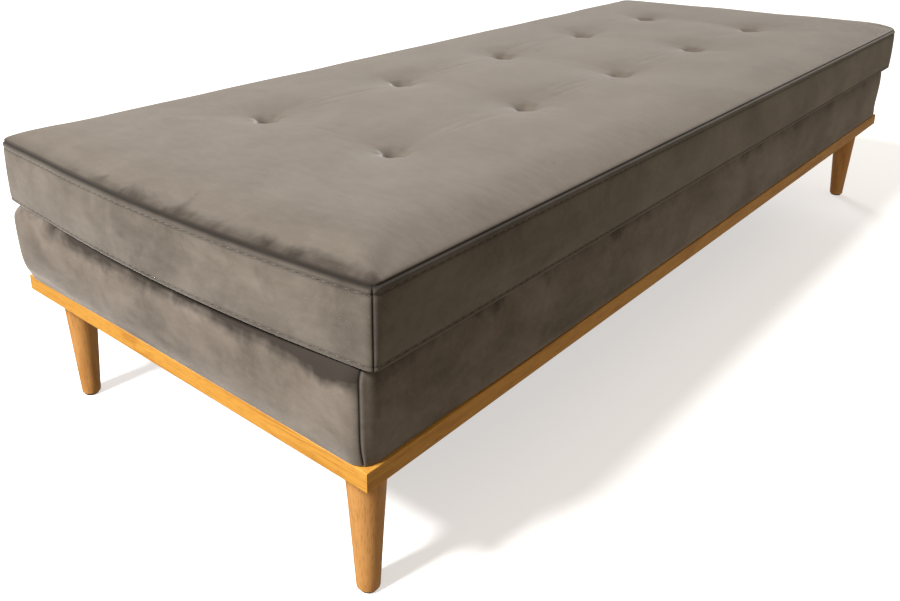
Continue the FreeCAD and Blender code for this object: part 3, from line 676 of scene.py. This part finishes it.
def shape_mattress(bm):
    gap_layer, stitch_layer, nap_and_shade_layer, dark_band_layer, hold_layer = cover_layers(bm)
    for vert in bm.verts:
        x, y, z = vert.co
        # The top's value also sets the painted shade that darkens the top panel in the velvet.
        vert[stitch_layer], vert[nap_and_shade_layer] = FAR_OFF, TOP_NAP_AND_SHADE
        inside_x, inside_y = half_long - abs(x), half_wide - abs(y)
        inside = min(inside_x, inside_y)
        on_top, on_bottom = z >= upper_seam - HAIR, z <= lower_seam + HAIR
        down, up = upper_seam - z, z - lower_seam
        corner_gap = max(inside_x, inside_y)
        new_x, new_y, out = rounded_plan(x, y, half_long, half_wide, PLAN_ROUND)
        ends = step_between(0.80, 1.0, abs(x) / half_long)
        new_x += math.copysign(end_bow * (1 - (y / half_wide) ** 2) * ends, x)
        flare = CORNER_FLARE * step_between(0.86, 1.0, -x / half_long) * step_between(0.6, 1.0, y / half_wide)
        new_x, new_y = new_x - flare, new_y + flare
        if on_top:
            rise = shoulder_rise(inside_x, inside_y)
            new_z = upper_seam + TOP_CROWN * rise - pit_drop(x, y)
            new_z += TOP_WAVE * rise * ripple(x, y, 0, TOP_WAVE_SIZE)
            push = SEAM_VALLEY * max(0, 1 - inside / SEAM_LIP)
            near = 1 - step_between(TUFT_HOLD, TUFT_FREE, from_tuft(x, y))
            held = max(1 - step_between(0, SEAM_HOLD, inside), near)
            vert[gap_layer] = min(inside_x, inside_y * 5)
            # Near the left end the top gets a darker band painted in, fading towards the rear.
            if x < 0:
                near_edge = 1 - step_between(3 * mm, 30 * mm, inside_x)
                vert[dark_band_layer] = TOP_DARK_BAND * near_edge * (1 - step_between(0, 0.3, y))
        elif on_bottom:
            push = LOWER_VALLEY * max(0, 1 - inside / LOWER_LIP)
            new_z = mattress_bottom + (lower_seam - mattress_bottom) * max(0, 1 - inside / LOWER_ROUND)
            new_z += BACK_DIMPLE * (1 - step_between(9.5 * mm, 15.5 * mm, from_tuft(x, y)))
            new_z -= EDGE_DROOP * edge_hang(new_x, new_y)
            held = 1.0
            vert[gap_layer] = inside * 3
        else:
            push = boxing_out(z, corner_gap)
            wave = BOXING_WAVE * ripple(x, y, z, BOXING_WAVE_SIZE, 7.0)
            push += wave * step_between(0, 0.03, min(down, up))
            new_z = hung_height(z)
            held = 1 - step_between(9 * mm, 24 * mm, min(down, up, corner_gap + 9 * mm))
            in_zip = abs(x) < ZIP_HALF + 1 * mm and y > 0 and abs(z - zip_height) < ZIP_LIP
            if in_zip:
                push = -ZIP_RECESS
            if y > half_wide - 1e-6 and abs(x) < ZIP_HALF + 20 * mm and abs(z - zip_height) < 12 * mm:
                held = 1.0
                new_z = z
                push = push if in_zip else 0.0
            vert[gap_layer] = min(down, up * 3, corner_gap * 2)
            vert[stitch_layer] = min(abs(down - UPPER_STITCH), abs(up - LOWER_STITCH))
            vert[nap_and_shade_layer] = 1.0
        vert.co = (new_x + out.x * push, new_y + out.y * push, new_z)
        vert[hold_layer] = held


shape_mattress(mattress_bm)
print("mattress height", round(max(v.co.z for v in mattress_bm.verts), 4))

# %% [markdown]
# # Air in the cover
# The Cloth modifier with pressure swells a closed mesh, as filling does. Seams, stitch rows, the
# buttons and the bottom are held by a vertex group, gravity is off, and twenty frames are enough. No
# point may move further than a small cap, so the size stays right. The result is written to the mesh
# and the modifier is taken off.

# %% Cloth pressure
SWELL_FRAMES = 20
MATTRESS_AIR, MATTRESS_CAP = 4.0, 7 * mm
BOX_AIR, BOX_CAP = 3.0, 3.5 * mm


def swell(piece, pressure, cap):
    """Blow a closed piece up with cloth pressure, cap every move, and leave a plain mesh."""
    mesh = piece.data
    group = piece.vertex_groups.new(name="held")
    held = [value.value for value in mesh.attributes["held"].data]
    for index, weight in enumerate(held):
        if weight > 0.001:
            group.add([index], min(weight, 1.0), "REPLACE")
    cloth = piece.modifiers.new("air", "CLOTH")
    settings = cloth.settings
    settings.quality = 4
    settings.mass = 0.25
    settings.tension_stiffness = settings.compression_stiffness = 25
    settings.shear_stiffness = 12
    settings.bending_stiffness = 2.0
    settings.air_damping = 2.0
    settings.use_pressure = True
    settings.uniform_pressure_force = pressure
    settings.effector_weights.gravity = 0
    settings.vertex_group_mass = "held"
    settings.pin_stiffness = 1.0
    cloth.collision_settings.use_collision = False
    cloth.point_cache.frame_start, cloth.point_cache.frame_end = 1, SWELL_FRAMES
    start = [vert.co.copy() for vert in mesh.vertices]
    for step in range(1, SWELL_FRAMES + 1):
        scene.frame_set(step)
    shaped = piece.evaluated_get(bpy.context.evaluated_depsgraph_get())
    moved = [vert.co.copy() for vert in shaped.data.vertices]
    piece.modifiers.remove(cloth)
    scene.frame_set(1)
    furthest = total = 0.0
    for vert, before, after in zip(mesh.vertices, start, moved):
        move = after - before
        reach = move.length
        furthest, total = max(furthest, reach), total + reach
        if reach > 1e-9:
            move *= cap * math.tanh(reach / cap) / reach
        vert.co = before + move
    piece.vertex_groups.remove(group)
    print(piece.name, "swelled up to", round(furthest / mm, 1), "mm, mean", round(total / len(moved) / mm, 2))


mattress = keep_piece("mattress_cover", mattress_bm, mattress_velvet, "mattress",
                      ("cover_top", "cover_boxing", "cover_bottom", "wadding"))
swell(mattress, MATTRESS_AIR, MATTRESS_CAP)
subdivided(mattress)
print("mattress faces", len(mattress.data.polygons))

# %% [markdown]
# # Stitches
# A topstitch is a row of short threads, each diving into a needle hole at both ends. From above one
# sees a bead of thread about 5 mm long, a dark hole, and the next bead. One low-poly ball is drawn
# out into a bead and set down again and again along the seam. A ray cast at the finished cover finds
# the cloth, so every bead lies on it.

# %% Stitch helpers
STITCH_PITCH, STITCH_LENGTH, STITCH_RADIUS = 7.3 * mm, 5.4 * mm, 0.55 * mm
STITCH_LIFT, ROW_STOP = 0.1 * mm, 7 * mm
RAY_START, RAY_REACH = 0.04, 0.08
JOIN_START, JOIN_STITCHES, JOIN_DROP = -0.56, 6, 1.1 * mm


def surface_of(piece):
    """A ray caster for the piece as it will be rendered."""
    return BVHTree.FromObject(piece, bpy.context.evaluated_depsgraph_get())


def many_balls(settings):
    """One low ball doubled until there are enough, and each copy then put where its matrix says."""
    bm = bmesh.new()
    bmesh.ops.create_uvsphere(bm, u_segments=5, v_segments=4, radius=1)
    size = len(bm.verts)
    while len(bm.verts) < size * len(settings):
        bmesh.ops.duplicate(bm, geom=bm.verts[:] + bm.edges[:] + bm.faces[:])
    bm.verts.ensure_lookup_table()
    bmesh.ops.delete(bm, geom=bm.verts[size * len(settings):], context="VERTS")
    bm.verts.ensure_lookup_table()
    for number, setting in enumerate(settings):
        bmesh.ops.transform(bm, matrix=setting, verts=bm.verts[number * size:(number + 1) * size])
    return bm


def stitch_row(surface, places):
    """Where the beads of a row go. Each place is a point outside the cloth and the way out of it."""
    hits = [surface.ray_cast(point, -out, RAY_REACH) for point, out in places]
    beads = []
    for (point, normal, _, _), (ahead, _, _, _) in zip(hits, hits[1:]):
        if point is None or ahead is None or not 1 * mm < (ahead - point).length < 1.6 * STITCH_PITCH:
            continue
        along = (ahead - point).normalized()
        side = normal.cross(along).normalized()
        turn = Matrix((along * STITCH_LENGTH / 2, side * STITCH_RADIUS, normal * STITCH_RADIUS)).transposed()
        beads.append(Matrix.Translation(point + normal * STITCH_LIFT) @ turn.to_4x4())
    return beads


def places_round(height):
    """Evenly spaced points beside the four boxing strips, stopping short of each corner seam."""
    sides = []
    for along_x, sign in ((True, -1), (False, 1), (True, 1), (False, -1)):
        reach = (half_long if along_x else half_wide) - ROW_STOP
        way = Vector((0, sign, 0)) if along_x else Vector((sign, 0, 0))
        row = []
        for number in range(int(2 * reach / STITCH_PITCH) + 1):
            step = -reach + STITCH_PITCH * number
            x, y = (step, sign * half_wide) if along_x else (sign * half_long, step)
            row.append((Vector((x, y, height)) + way * RAY_START, way))
        sides.append(row)
    return sides


# %% Topstitching of the mattress
mattress_surface = surface_of(mattress)
stitch_heights = {"upper_topstitch": upper_seam - UPPER_STITCH, "lower_topstitch": lower_seam + LOWER_STITCH}
for name, height in stitch_heights.items():
    beads = []
    for side in places_round(hung_height(height)):
        beads += stitch_row(mattress_surface, side)
    if name == "upper_topstitch":
        join_height, join_y = hung_height(height) - JOIN_DROP, -half_wide - RAY_START
        join = [(Vector((JOIN_START + STITCH_PITCH * number, join_y, join_height)), Vector((0, -1, 0)))
                for number in range(JOIN_STITCHES)]
        beads += stitch_row(mattress_surface, join)
    row = keep_piece(name, many_balls(beads), thread, "mattress")
    print(name, "faces", len(row.data.polygons))

# %% [markdown]
# # Covered buttons
# A tufting button is a metal shell with the same velvet pressed round it: a low dome with a tight
# edge. Half of its outline is drawn once and spun round the axis. The back buttons under the mattress
# are plain nylon discs with a raised rim, made the same way.


# %% Buttons
def spun(bm, outline, centre, steps=28):
    """Spin a half outline, given as radius and height pairs, round an upright axis at centre."""
    verts = [bm.verts.new((centre[0] + radius, centre[1], height)) for radius, height in outline]
    edges = [bm.edges.new(pair) for pair in zip(verts, verts[1:])]
    bmesh.ops.spin(bm, geom=verts + edges, cent=(centre[0], centre[1], 0), axis=(0, 0, 1), angle=math.tau,
                   steps=steps, use_merge=True)


def button_outline(low, high, radius, dome):
    """Half of a button: flat back, rounded edge and a domed face."""
    middle = low + (high - low) * 0.35
    points = [(0, low), (radius * 0.90, low), (radius * 0.985, low + (middle - low) * 0.4), (radius, middle)]
    for step in range(1, 7):
        angle = QUARTER * step / 6
        reach = radius * math.cos(angle) ** dome if step < 6 else 0
        points.append((reach, middle + (high - middle) * math.sin(angle)))
    return points


buttons_bm = bmesh.new()
for place in tufts:
    spun(buttons_bm, button_outline(button_low[2], button_high[2], button_radius, 0.8), place)
keep_piece("covered_buttons", buttons_bm, button_velvet, "mattress", ("tuft_buttons",),
           turn_out=True)

RIM_HEIGHT = 0.8 * mm
back_radius = back_high[0] - tuft_half[0]
low, high = back_low[2], back_high[2]
back_outline = ((0, low + RIM_HEIGHT), (0.55, low + RIM_HEIGHT), (0.68, low), (0.92, low),
                (1, low + RIM_HEIGHT), (1, high - RIM_HEIGHT), (0.95, high), (0, high))
back_bm = bmesh.new()
for place in tufts:
    spun(back_bm, [(back_radius * share, height) for share, height in back_outline], place)
back_piece = keep_piece("nylon_back_buttons", back_bm, button_nylon, "mattress",
                        ("back_buttons",), turn_out=True)
sharp_by_angle(back_piece)
print("buttons", len(tufts), "back button radius", round(back_radius, 4))

# %% [markdown]
# # Zip
# The zip runs along the rear boxing in a slot 16 mm high. A coil zip is two nylon spirals sewn to
# tapes, whose loops mesh like fingers. Each loop is drawn here as one small bead, set by turns a
# little above and below the middle, at a real pitch of 1.6 mm. The tape, slider and pull keep their
# solid shapes.

# %% Zip coil
coil_low, coil_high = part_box("zip_coil")
COIL_PITCH = 1.6 * mm
LOOP_SHARES = (0.52, 0.5, 0.34)
loops = int((coil_high[0] - coil_low[0]) / COIL_PITCH)
coil_mid = (coil_low + coil_high) / 2
coil_size = coil_high - coil_low
loop_size = Matrix.Diagonal((COIL_PITCH * LOOP_SHARES[0], coil_size[1] * LOOP_SHARES[1],
                             coil_size[2] * LOOP_SHARES[2], 1))
loop_places = []
for number in range(loops):
    side = 1 if number % 2 else -1
    along = coil_low[0] + COIL_PITCH * (number + 0.5)
    place = Vector((along, coil_mid[1], coil_mid[2] + side * coil_size[2] * 0.16))
    loop_places.append(Matrix.Translation(place) @ loop_size)
coil_bm = many_balls(loop_places)
for side in (-1, 1):
    size = Matrix.Diagonal((coil_size[0], coil_size[1] * 0.35, coil_size[2] * 0.12, 1))
    seam_height = coil_mid[2] + side * coil_size[2] * 0.43
    place = Matrix.Translation((0, coil_low[1] + coil_size[1] * 0.22, seam_height))
    bmesh.ops.create_cube(coil_bm, size=1, matrix=place @ size)
coil = keep_piece("zip_coil_loops", coil_bm, coil_nylon, "mattress", ("zip_coil",))
print("coil loops", loops, "faces", len(coil.data.polygons))

# %% [markdown]
# # The upholstered box
# The box is a softwood frame with foam on its sides, in the same velvet. Its cover is pulled over the
# top edge, sewn at the four corners, and tacked under the rails. Round the deck it shows a 60 mm
# border, and a plain lining fills the middle. Such a cover is never flat: it bellies a little over
# the foam, is drawn in at the corner seams, and has soft slanting folds where it was pulled. It
# starts as a gridded block like the mattress. Its edges are rounded, its sides are swelled with cloth
# pressure, and then the faces over the deck and under the rails are taken out and the cloth gets its
# thickness.

# %% Box cover form
box_half_x, box_half_y = box_high[0], box_high[1]
box_base = box_low[2]
BOX_ROUND, BOX_TOP_ROUND = 25 * mm, 12 * mm
BORDER, HEM = 60 * mm, 22 * mm
COVER_THICK = 1.4 * mm
FOLD_DEPTH, SHORT_FOLD, LONG_FOLD = 1.5 * mm, 0.085, 0.25
CORNER_TUCK, TUCK_WIDTH = 2.2 * mm, 1.6 * mm
BELLY_LEAST, BELLY_RISE = 0.8 * mm, 2.2 * mm
FRONT_FOOT = 3.2 * mm
BOX_EDGES = [step * mm for step in (0, 1, 3, 6, 9, 12, 17, 22, 25, 40, 60)]
LEFT_PROUD, CORNER_PROUD, RIGHT_PROUD = 9 * mm, 12 * mm, 30 * mm
# How far down the painted shadow under the mattress's overhang reaches on the box, and how strong it is on
# the ends and on the long sides.
PAINTED_SHADOW_DEPTH, END_PAINTED_SHADOW, SIDE_PAINTED_SHADOW = 48 * mm, 1.7, 0.6
box_x = lines_along(-box_half_x, box_half_x, BOX_EDGES, BOX_ROW)
box_y = lines_along(-box_half_y, box_half_y, BOX_EDGES, BOX_ROW)
box_z = sorted({box_high[2] - step * mm for step in (0, 3, 6, 9, 12, 18, 26)}
               | {box_base + step * mm for step in (0, 2, 5, 10, 16, 24)}
               | {box_base + (box_high[2] - box_base) * i / 10 for i in range(3, 9)})
box_bm = gridded_block(box_x, box_y, box_z)


def edge_angle(inside, down, radius):
    """Where a point near the top edge lies on its quarter round: 0 on the side, a quarter turn on the top."""
    if down < HAIR:
        return math.pi / 4 * (1 + min(inside / radius, 1))
    return math.pi / 4 * (1 - min(down / radius, 1))


def shape_box(bm):
    gap_layer, stitch_layer, nap_and_shade_layer, dark_band_layer, hold_layer = cover_layers(bm)
    for vert in bm.verts:
        x, y, z = vert.co
        vert[stitch_layer], vert[nap_and_shade_layer] = FAR_OFF, 1.0
        inside_x, inside_y = box_half_x - abs(x), box_half_y - abs(y)
        inside, corner_gap = min(inside_x, inside_y), max(inside_x, inside_y)
        down, up = box_high[2] - z, z - box_base
        new_x, new_y, out = rounded_plan(x, y, box_half_x, box_half_y, BOX_ROUND)
        new_z, push, held = z, 0.0, 1.0
        if down < BOX_TOP_ROUND and inside < BOX_TOP_ROUND:
            angle = edge_angle(inside, down, BOX_TOP_ROUND)
            push = BOX_TOP_ROUND * (math.cos(angle) - 1) + (inside if down < HAIR else 0)
            new_z = box_high[2] - BOX_TOP_ROUND * (1 - math.sin(angle))
        on_side = down > HAIR and up > HAIR
        rise = up / (box_high[2] - box_base)
        if on_side:
            belly = BELLY_LEAST + BELLY_RISE * math.sin(math.pi * min(rise * 1.05, 1))
            fold = FOLD_DEPTH * ripple(x + y + 1.2 * z, y - x, 0.8 * z, SHORT_FOLD, 3.0)
            fold += FOLD_DEPTH * ripple(x - y, y, z, LONG_FOLD, 11.0)
            push += (belly + fold) * step_between(0, 12 * mm, min(down, up)) + 0.6 * mm
            push -= CORNER_TUCK * max(0.0, 1 - corner_gap / TUCK_WIDTH)
            # Painted shadow under the mattress's overhang: the top of the box's sides is painted dark, fading
            # downwards and towards the rear.
            painted_shadow = (1 - down / PAINTED_SHADOW_DEPTH) * (1 - 0.75 * step_between(0.10, 0.36, y))
            vert[dark_band_layer] = max(painted_shadow, 0) * (END_PAINTED_SHADOW if inside_x < inside_y else SIDE_PAINTED_SHADOW)
            lap = step_between(9 * mm, 3 * mm, corner_gap) if inside_y < inside_x else 0.0
            push += 1.0 * mm * lap
            if y < 0 and inside_y < inside_x:
                low_share = 1 - step_between(4 * mm, 30 * mm, up)
                push += FRONT_FOOT * step_between(-0.90, -0.70, x) * low_share
            held = 1 - step_between(10 * mm, 34 * mm, min(down, up, corner_gap))
        left = step_between(0.945, 1.0, -x / box_half_x)
        right = step_between(0.945, 1.0, x / box_half_x)
        fullness = (0.5 + 0.5 * step_between(0, 0.25, rise)) * (1 - 0.7 * step_between(0.84, 1.0, rise))
        lean = CORNER_PROUD * (0.4 + 0.6 * rise) * fullness * step_between(0.1, 0.38, y) * left
        new_x -= LEFT_PROUD * fullness * left + lean
        new_x += RIGHT_PROUD * rise * fullness * right
        vert.co = (new_x + out.x * push, new_y + out.y * push + lean, new_z)
        vert[gap_layer] = corner_gap * 2 + 0.3 * mm if on_side else FAR_OFF
        vert[hold_layer] = held


shape_box(box_bm)
print("box rows", len(box_x), len(box_y), len(box_z), "faces", len(box_bm.faces))

# %% Box cover, swelled, opened and given its thickness
box_cover = keep_piece("box_cover_velvet", box_bm, box_velvet, "base", ("box_cover",))
swell(box_cover, BOX_AIR, BOX_CAP)

opening_bm = bmesh.new()
opening_bm.from_mesh(box_cover.data)
deck_reach = (box_half_x - BORDER, box_half_y - BORDER)
hem_reach = (box_half_x - HEM, box_half_y - HEM)
spare = []
for face in opening_bm.faces:
    centre = face.calc_center_median()
    place = (abs(centre.x), abs(centre.y))
    over_deck = centre.z > box_high[2] - 2 * mm and place[0] < deck_reach[0] and place[1] < deck_reach[1]
    under_rails = centre.z < box_base + 1 * mm and place[0] < hem_reach[0] and place[1] < hem_reach[1]
    if over_deck or under_rails:
        spare.append(face)
bmesh.ops.delete(opening_bm, geom=spare, context="FACES")
opening_bm.to_mesh(box_cover.data)
opening_bm.free()
subdivided(box_cover)
wall = box_cover.modifiers.new("cloth_thickness", "SOLIDIFY")
wall.thickness, wall.offset = COVER_THICK, -1
print("box cover faces", len(box_cover.data.polygons), "taken out", len(spare))

# %% [markdown]
# # Deck lining and dust cover
# Two plain cloths close the box: a strong lining on the deck under the mattress, and a thin black
# non-woven cloth beneath. Both are flat rectangles pulled tight, so each is a grid, with the faintest
# ripple, given its thickness.


# %% Stretched cloths
def stretched_cloth(name, node, material, wave):
    low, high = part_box(node)
    bm = bmesh.new()
    bmesh.ops.create_grid(bm, x_segments=48, y_segments=20, size=0.5)
    thick = (high[2] - low[2]) * 0.6
    bmesh.ops.scale(bm, vec=(high[0] - low[0], high[1] - low[1], 1), verts=bm.verts[:])
    for vert in bm.verts:
        vert.co.z = (low[2] + high[2]) / 2 + wave * ripple(vert.co.x, vert.co.y, 0, 0.12, 5.0)
    cloth = keep_piece(name, bm, material, "base", (node,))
    cloth_wall = cloth.modifiers.new("cloth_thickness", "SOLIDIFY")
    cloth_wall.thickness, cloth_wall.offset = thick, 0
    print(name, "flat size", round(high[0] - low[0], 3), "by", round(high[1] - low[1], 3))


stretched_cloth("deck_lining_cloth", "deck_lining", lining_cloth, 0.25 * mm)
stretched_cloth("dust_cover_cloth", "dust_cover", dust_cloth, 0.1 * mm)

# %% [markdown]
# # Foam of the box
# A strip of foam on each rail and a slab over the slats keep the velvet soft. Their edges are trimmed
# with scissors, so the cloth has room to turn over them. Each is a copy of its solid, made a
# millimetre smaller, with the edges eased.

# %% Foam strips and deck slab
FOAM_GAP, STRIP_EASE, SLAB_EASE = 1.0 * mm, 3.0 * mm, 7.0 * mm
CORNER_ANGLE = math.radians(60)


def trimmed_foam(name, node, ease, top_only):
    low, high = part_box(node)
    bm = whole_faces(node)
    smaller = Matrix.Diagonal([1 - 2 * FOAM_GAP / size for size in high - low] + [1])
    middle = Matrix.Translation((low + high) / 2)
    bmesh.ops.transform(bm, matrix=middle @ smaller @ middle.inverted(), verts=bm.verts[:])
    top = high[2] - FOAM_GAP - 0.1 * mm
    edges = [e for e in bm.edges if e.calc_face_angle(0) > CORNER_ANGLE
             and (not top_only or min(vert.co.z for vert in e.verts) > top)]
    ease_edges(bm, edges, ease, clamp=True)
    piece = keep_piece(name, bm, pad_foam, "base", (node,))
    sharp_by_angle(piece, 50)
    print(name, "eased edges", len(edges), "faces", len(piece.data.polygons))


for side in ("front", "rear", "left", "right"):
    trimmed_foam("foam_strip_" + side, "side_pad_" + side, STRIP_EASE, False)
trimmed_foam("foam_slab", "deck_foam", SLAB_EASE, True)

# %% [markdown]
# # Oak band
# Four oak boards lie flat under the box, mitred at the corners, and their edges make the band. A
# joiner takes the sharp edges off with a block plane. The solid board already has its mitres,
# recesses and holes, so a copy of its mesh is merged, its flat triangles are dissolved into whole
# faces, and a small bevel is run along the long edges.

# %% Oak boards
PLANED_EDGE, LONG_EDGE = 1.1 * mm, 0.4


def planed_board(side, axis, material):
    bm = whole_faces("oak_board_" + side)
    long_edges = [e for e in bm.edges if e.calc_face_angle(0) > CORNER_ANGLE
                  and abs(e.verts[0].co[axis] - e.verts[1].co[axis]) > LONG_EDGE]
    ease_edges(bm, long_edges, PLANED_EDGE)
    board = keep_piece("oak_band_" + side, bm, material, "base", ("oak_board_" + side,))
    sharp_by_angle(board, 30)
    print(board.name, "planed edges", len(long_edges), "faces", len(board.data.polygons))


for side, axis, material in (("front", 0, oak_lengthwise), ("rear", 0, oak_lengthwise),
                             ("left", 1, oak_crosswise), ("right", 1, oak_crosswise)):
    planed_board(side, axis, material)

# %% [markdown]
# # Legs
# The legs are turned on a lathe, and spin is the lathe of mesh modelling: half of the outline, with
# the bolt hole above and the bore of the glide below, is spun round the leg's axis. The top edge is
# eased, the taper is straight, and the foot is rounded over.

# %% Turned legs
BOLT_RADIUS, BOLT_DEPTH, STEM_RADIUS, STEM_DEPTH = 4 * mm, 35 * mm, 2.5 * mm, 12 * mm
FOOT_RADIUS, FOOT_ROUND, TOP_EASE = 15.6 * mm, 3 * mm, 0.8 * mm


def leg_outline(low, high, top_radius):
    points = [(0, high - BOLT_DEPTH), (BOLT_RADIUS, high - BOLT_DEPTH), (BOLT_RADIUS, high),
              (top_radius - TOP_EASE, high), (top_radius, high - TOP_EASE)]
    foot_top = low + FOOT_ROUND
    for step in range(1, 8):
        share = step / 8
        points.append((top_radius + (FOOT_RADIUS - top_radius) * share, high + (foot_top - high) * share))
    for step in range(5):
        angle = QUARTER * step / 4
        reach = FOOT_RADIUS - FOOT_ROUND * (1 - math.cos(angle))
        points.append((reach, foot_top - FOOT_ROUND * math.sin(angle)))
    return points + [(STEM_RADIUS, low), (STEM_RADIUS, low + STEM_DEPTH), (0, low + STEM_DEPTH)]


for across in ("front", "rear"):
    for end in ("left", "right"):
        node = f"leg_{across}_{end}"
        low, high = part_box(node)
        leg_bm = bmesh.new()
        centre = ((low[0] + high[0]) / 2, (low[1] + high[1]) / 2)
        spun(leg_bm, leg_outline(low[2], high[2], (high[0] - low[0]) / 2), centre, steps=48)
        leg = keep_piece("turned_" + node, leg_bm, oak_upright, "base", (node,), turn_out=True)
        sharp_by_angle(leg, 40)
        print(leg.name, "faces", len(leg.data.polygons))

# %% [markdown]
# # Finishes of the inner pieces
# The rails, slats, plates, screws, pads and glides keep their solid shapes and take the finish of
# what they are made of.

# %% Inner pieces
inner_finish = {
    "box_rail_front": pine["x"], "box_rail_rear": pine["x"], "slat_ledger": pine["x"],
    "box_rail_left": pine["y"], "box_rail_right": pine["y"], "cross_rail": pine["y"],
    "corner_blocks": pine["z"],
    "slat_screws": zinc, "slat_": birch, "corner_plate": zinc, "plate_screws": zinc, "oak_screws": zinc,
    "rail_screws": zinc, "ledger_screws": zinc, "hanger_bolts": zinc, "leg_glides": glide_nylon,
    "deck_felt": felt, "foam_core": foam, "tuft_twines": twine,
    "zip_tape": tape_cloth, "zip_slider": zip_metal, "zip_pull": zip_metal,
}
finished = 0
for name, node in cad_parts.items():
    match = next((start for start in inner_finish if name.startswith(start)), None)
    if match is None:
        continue
    if not node.material_slots:
        node.data.materials.append(inner_finish[match])
    for material_slot in node.material_slots:
        material_slot.material = inner_finish[match]
    finished += 1
print("inner pieces finished", finished)
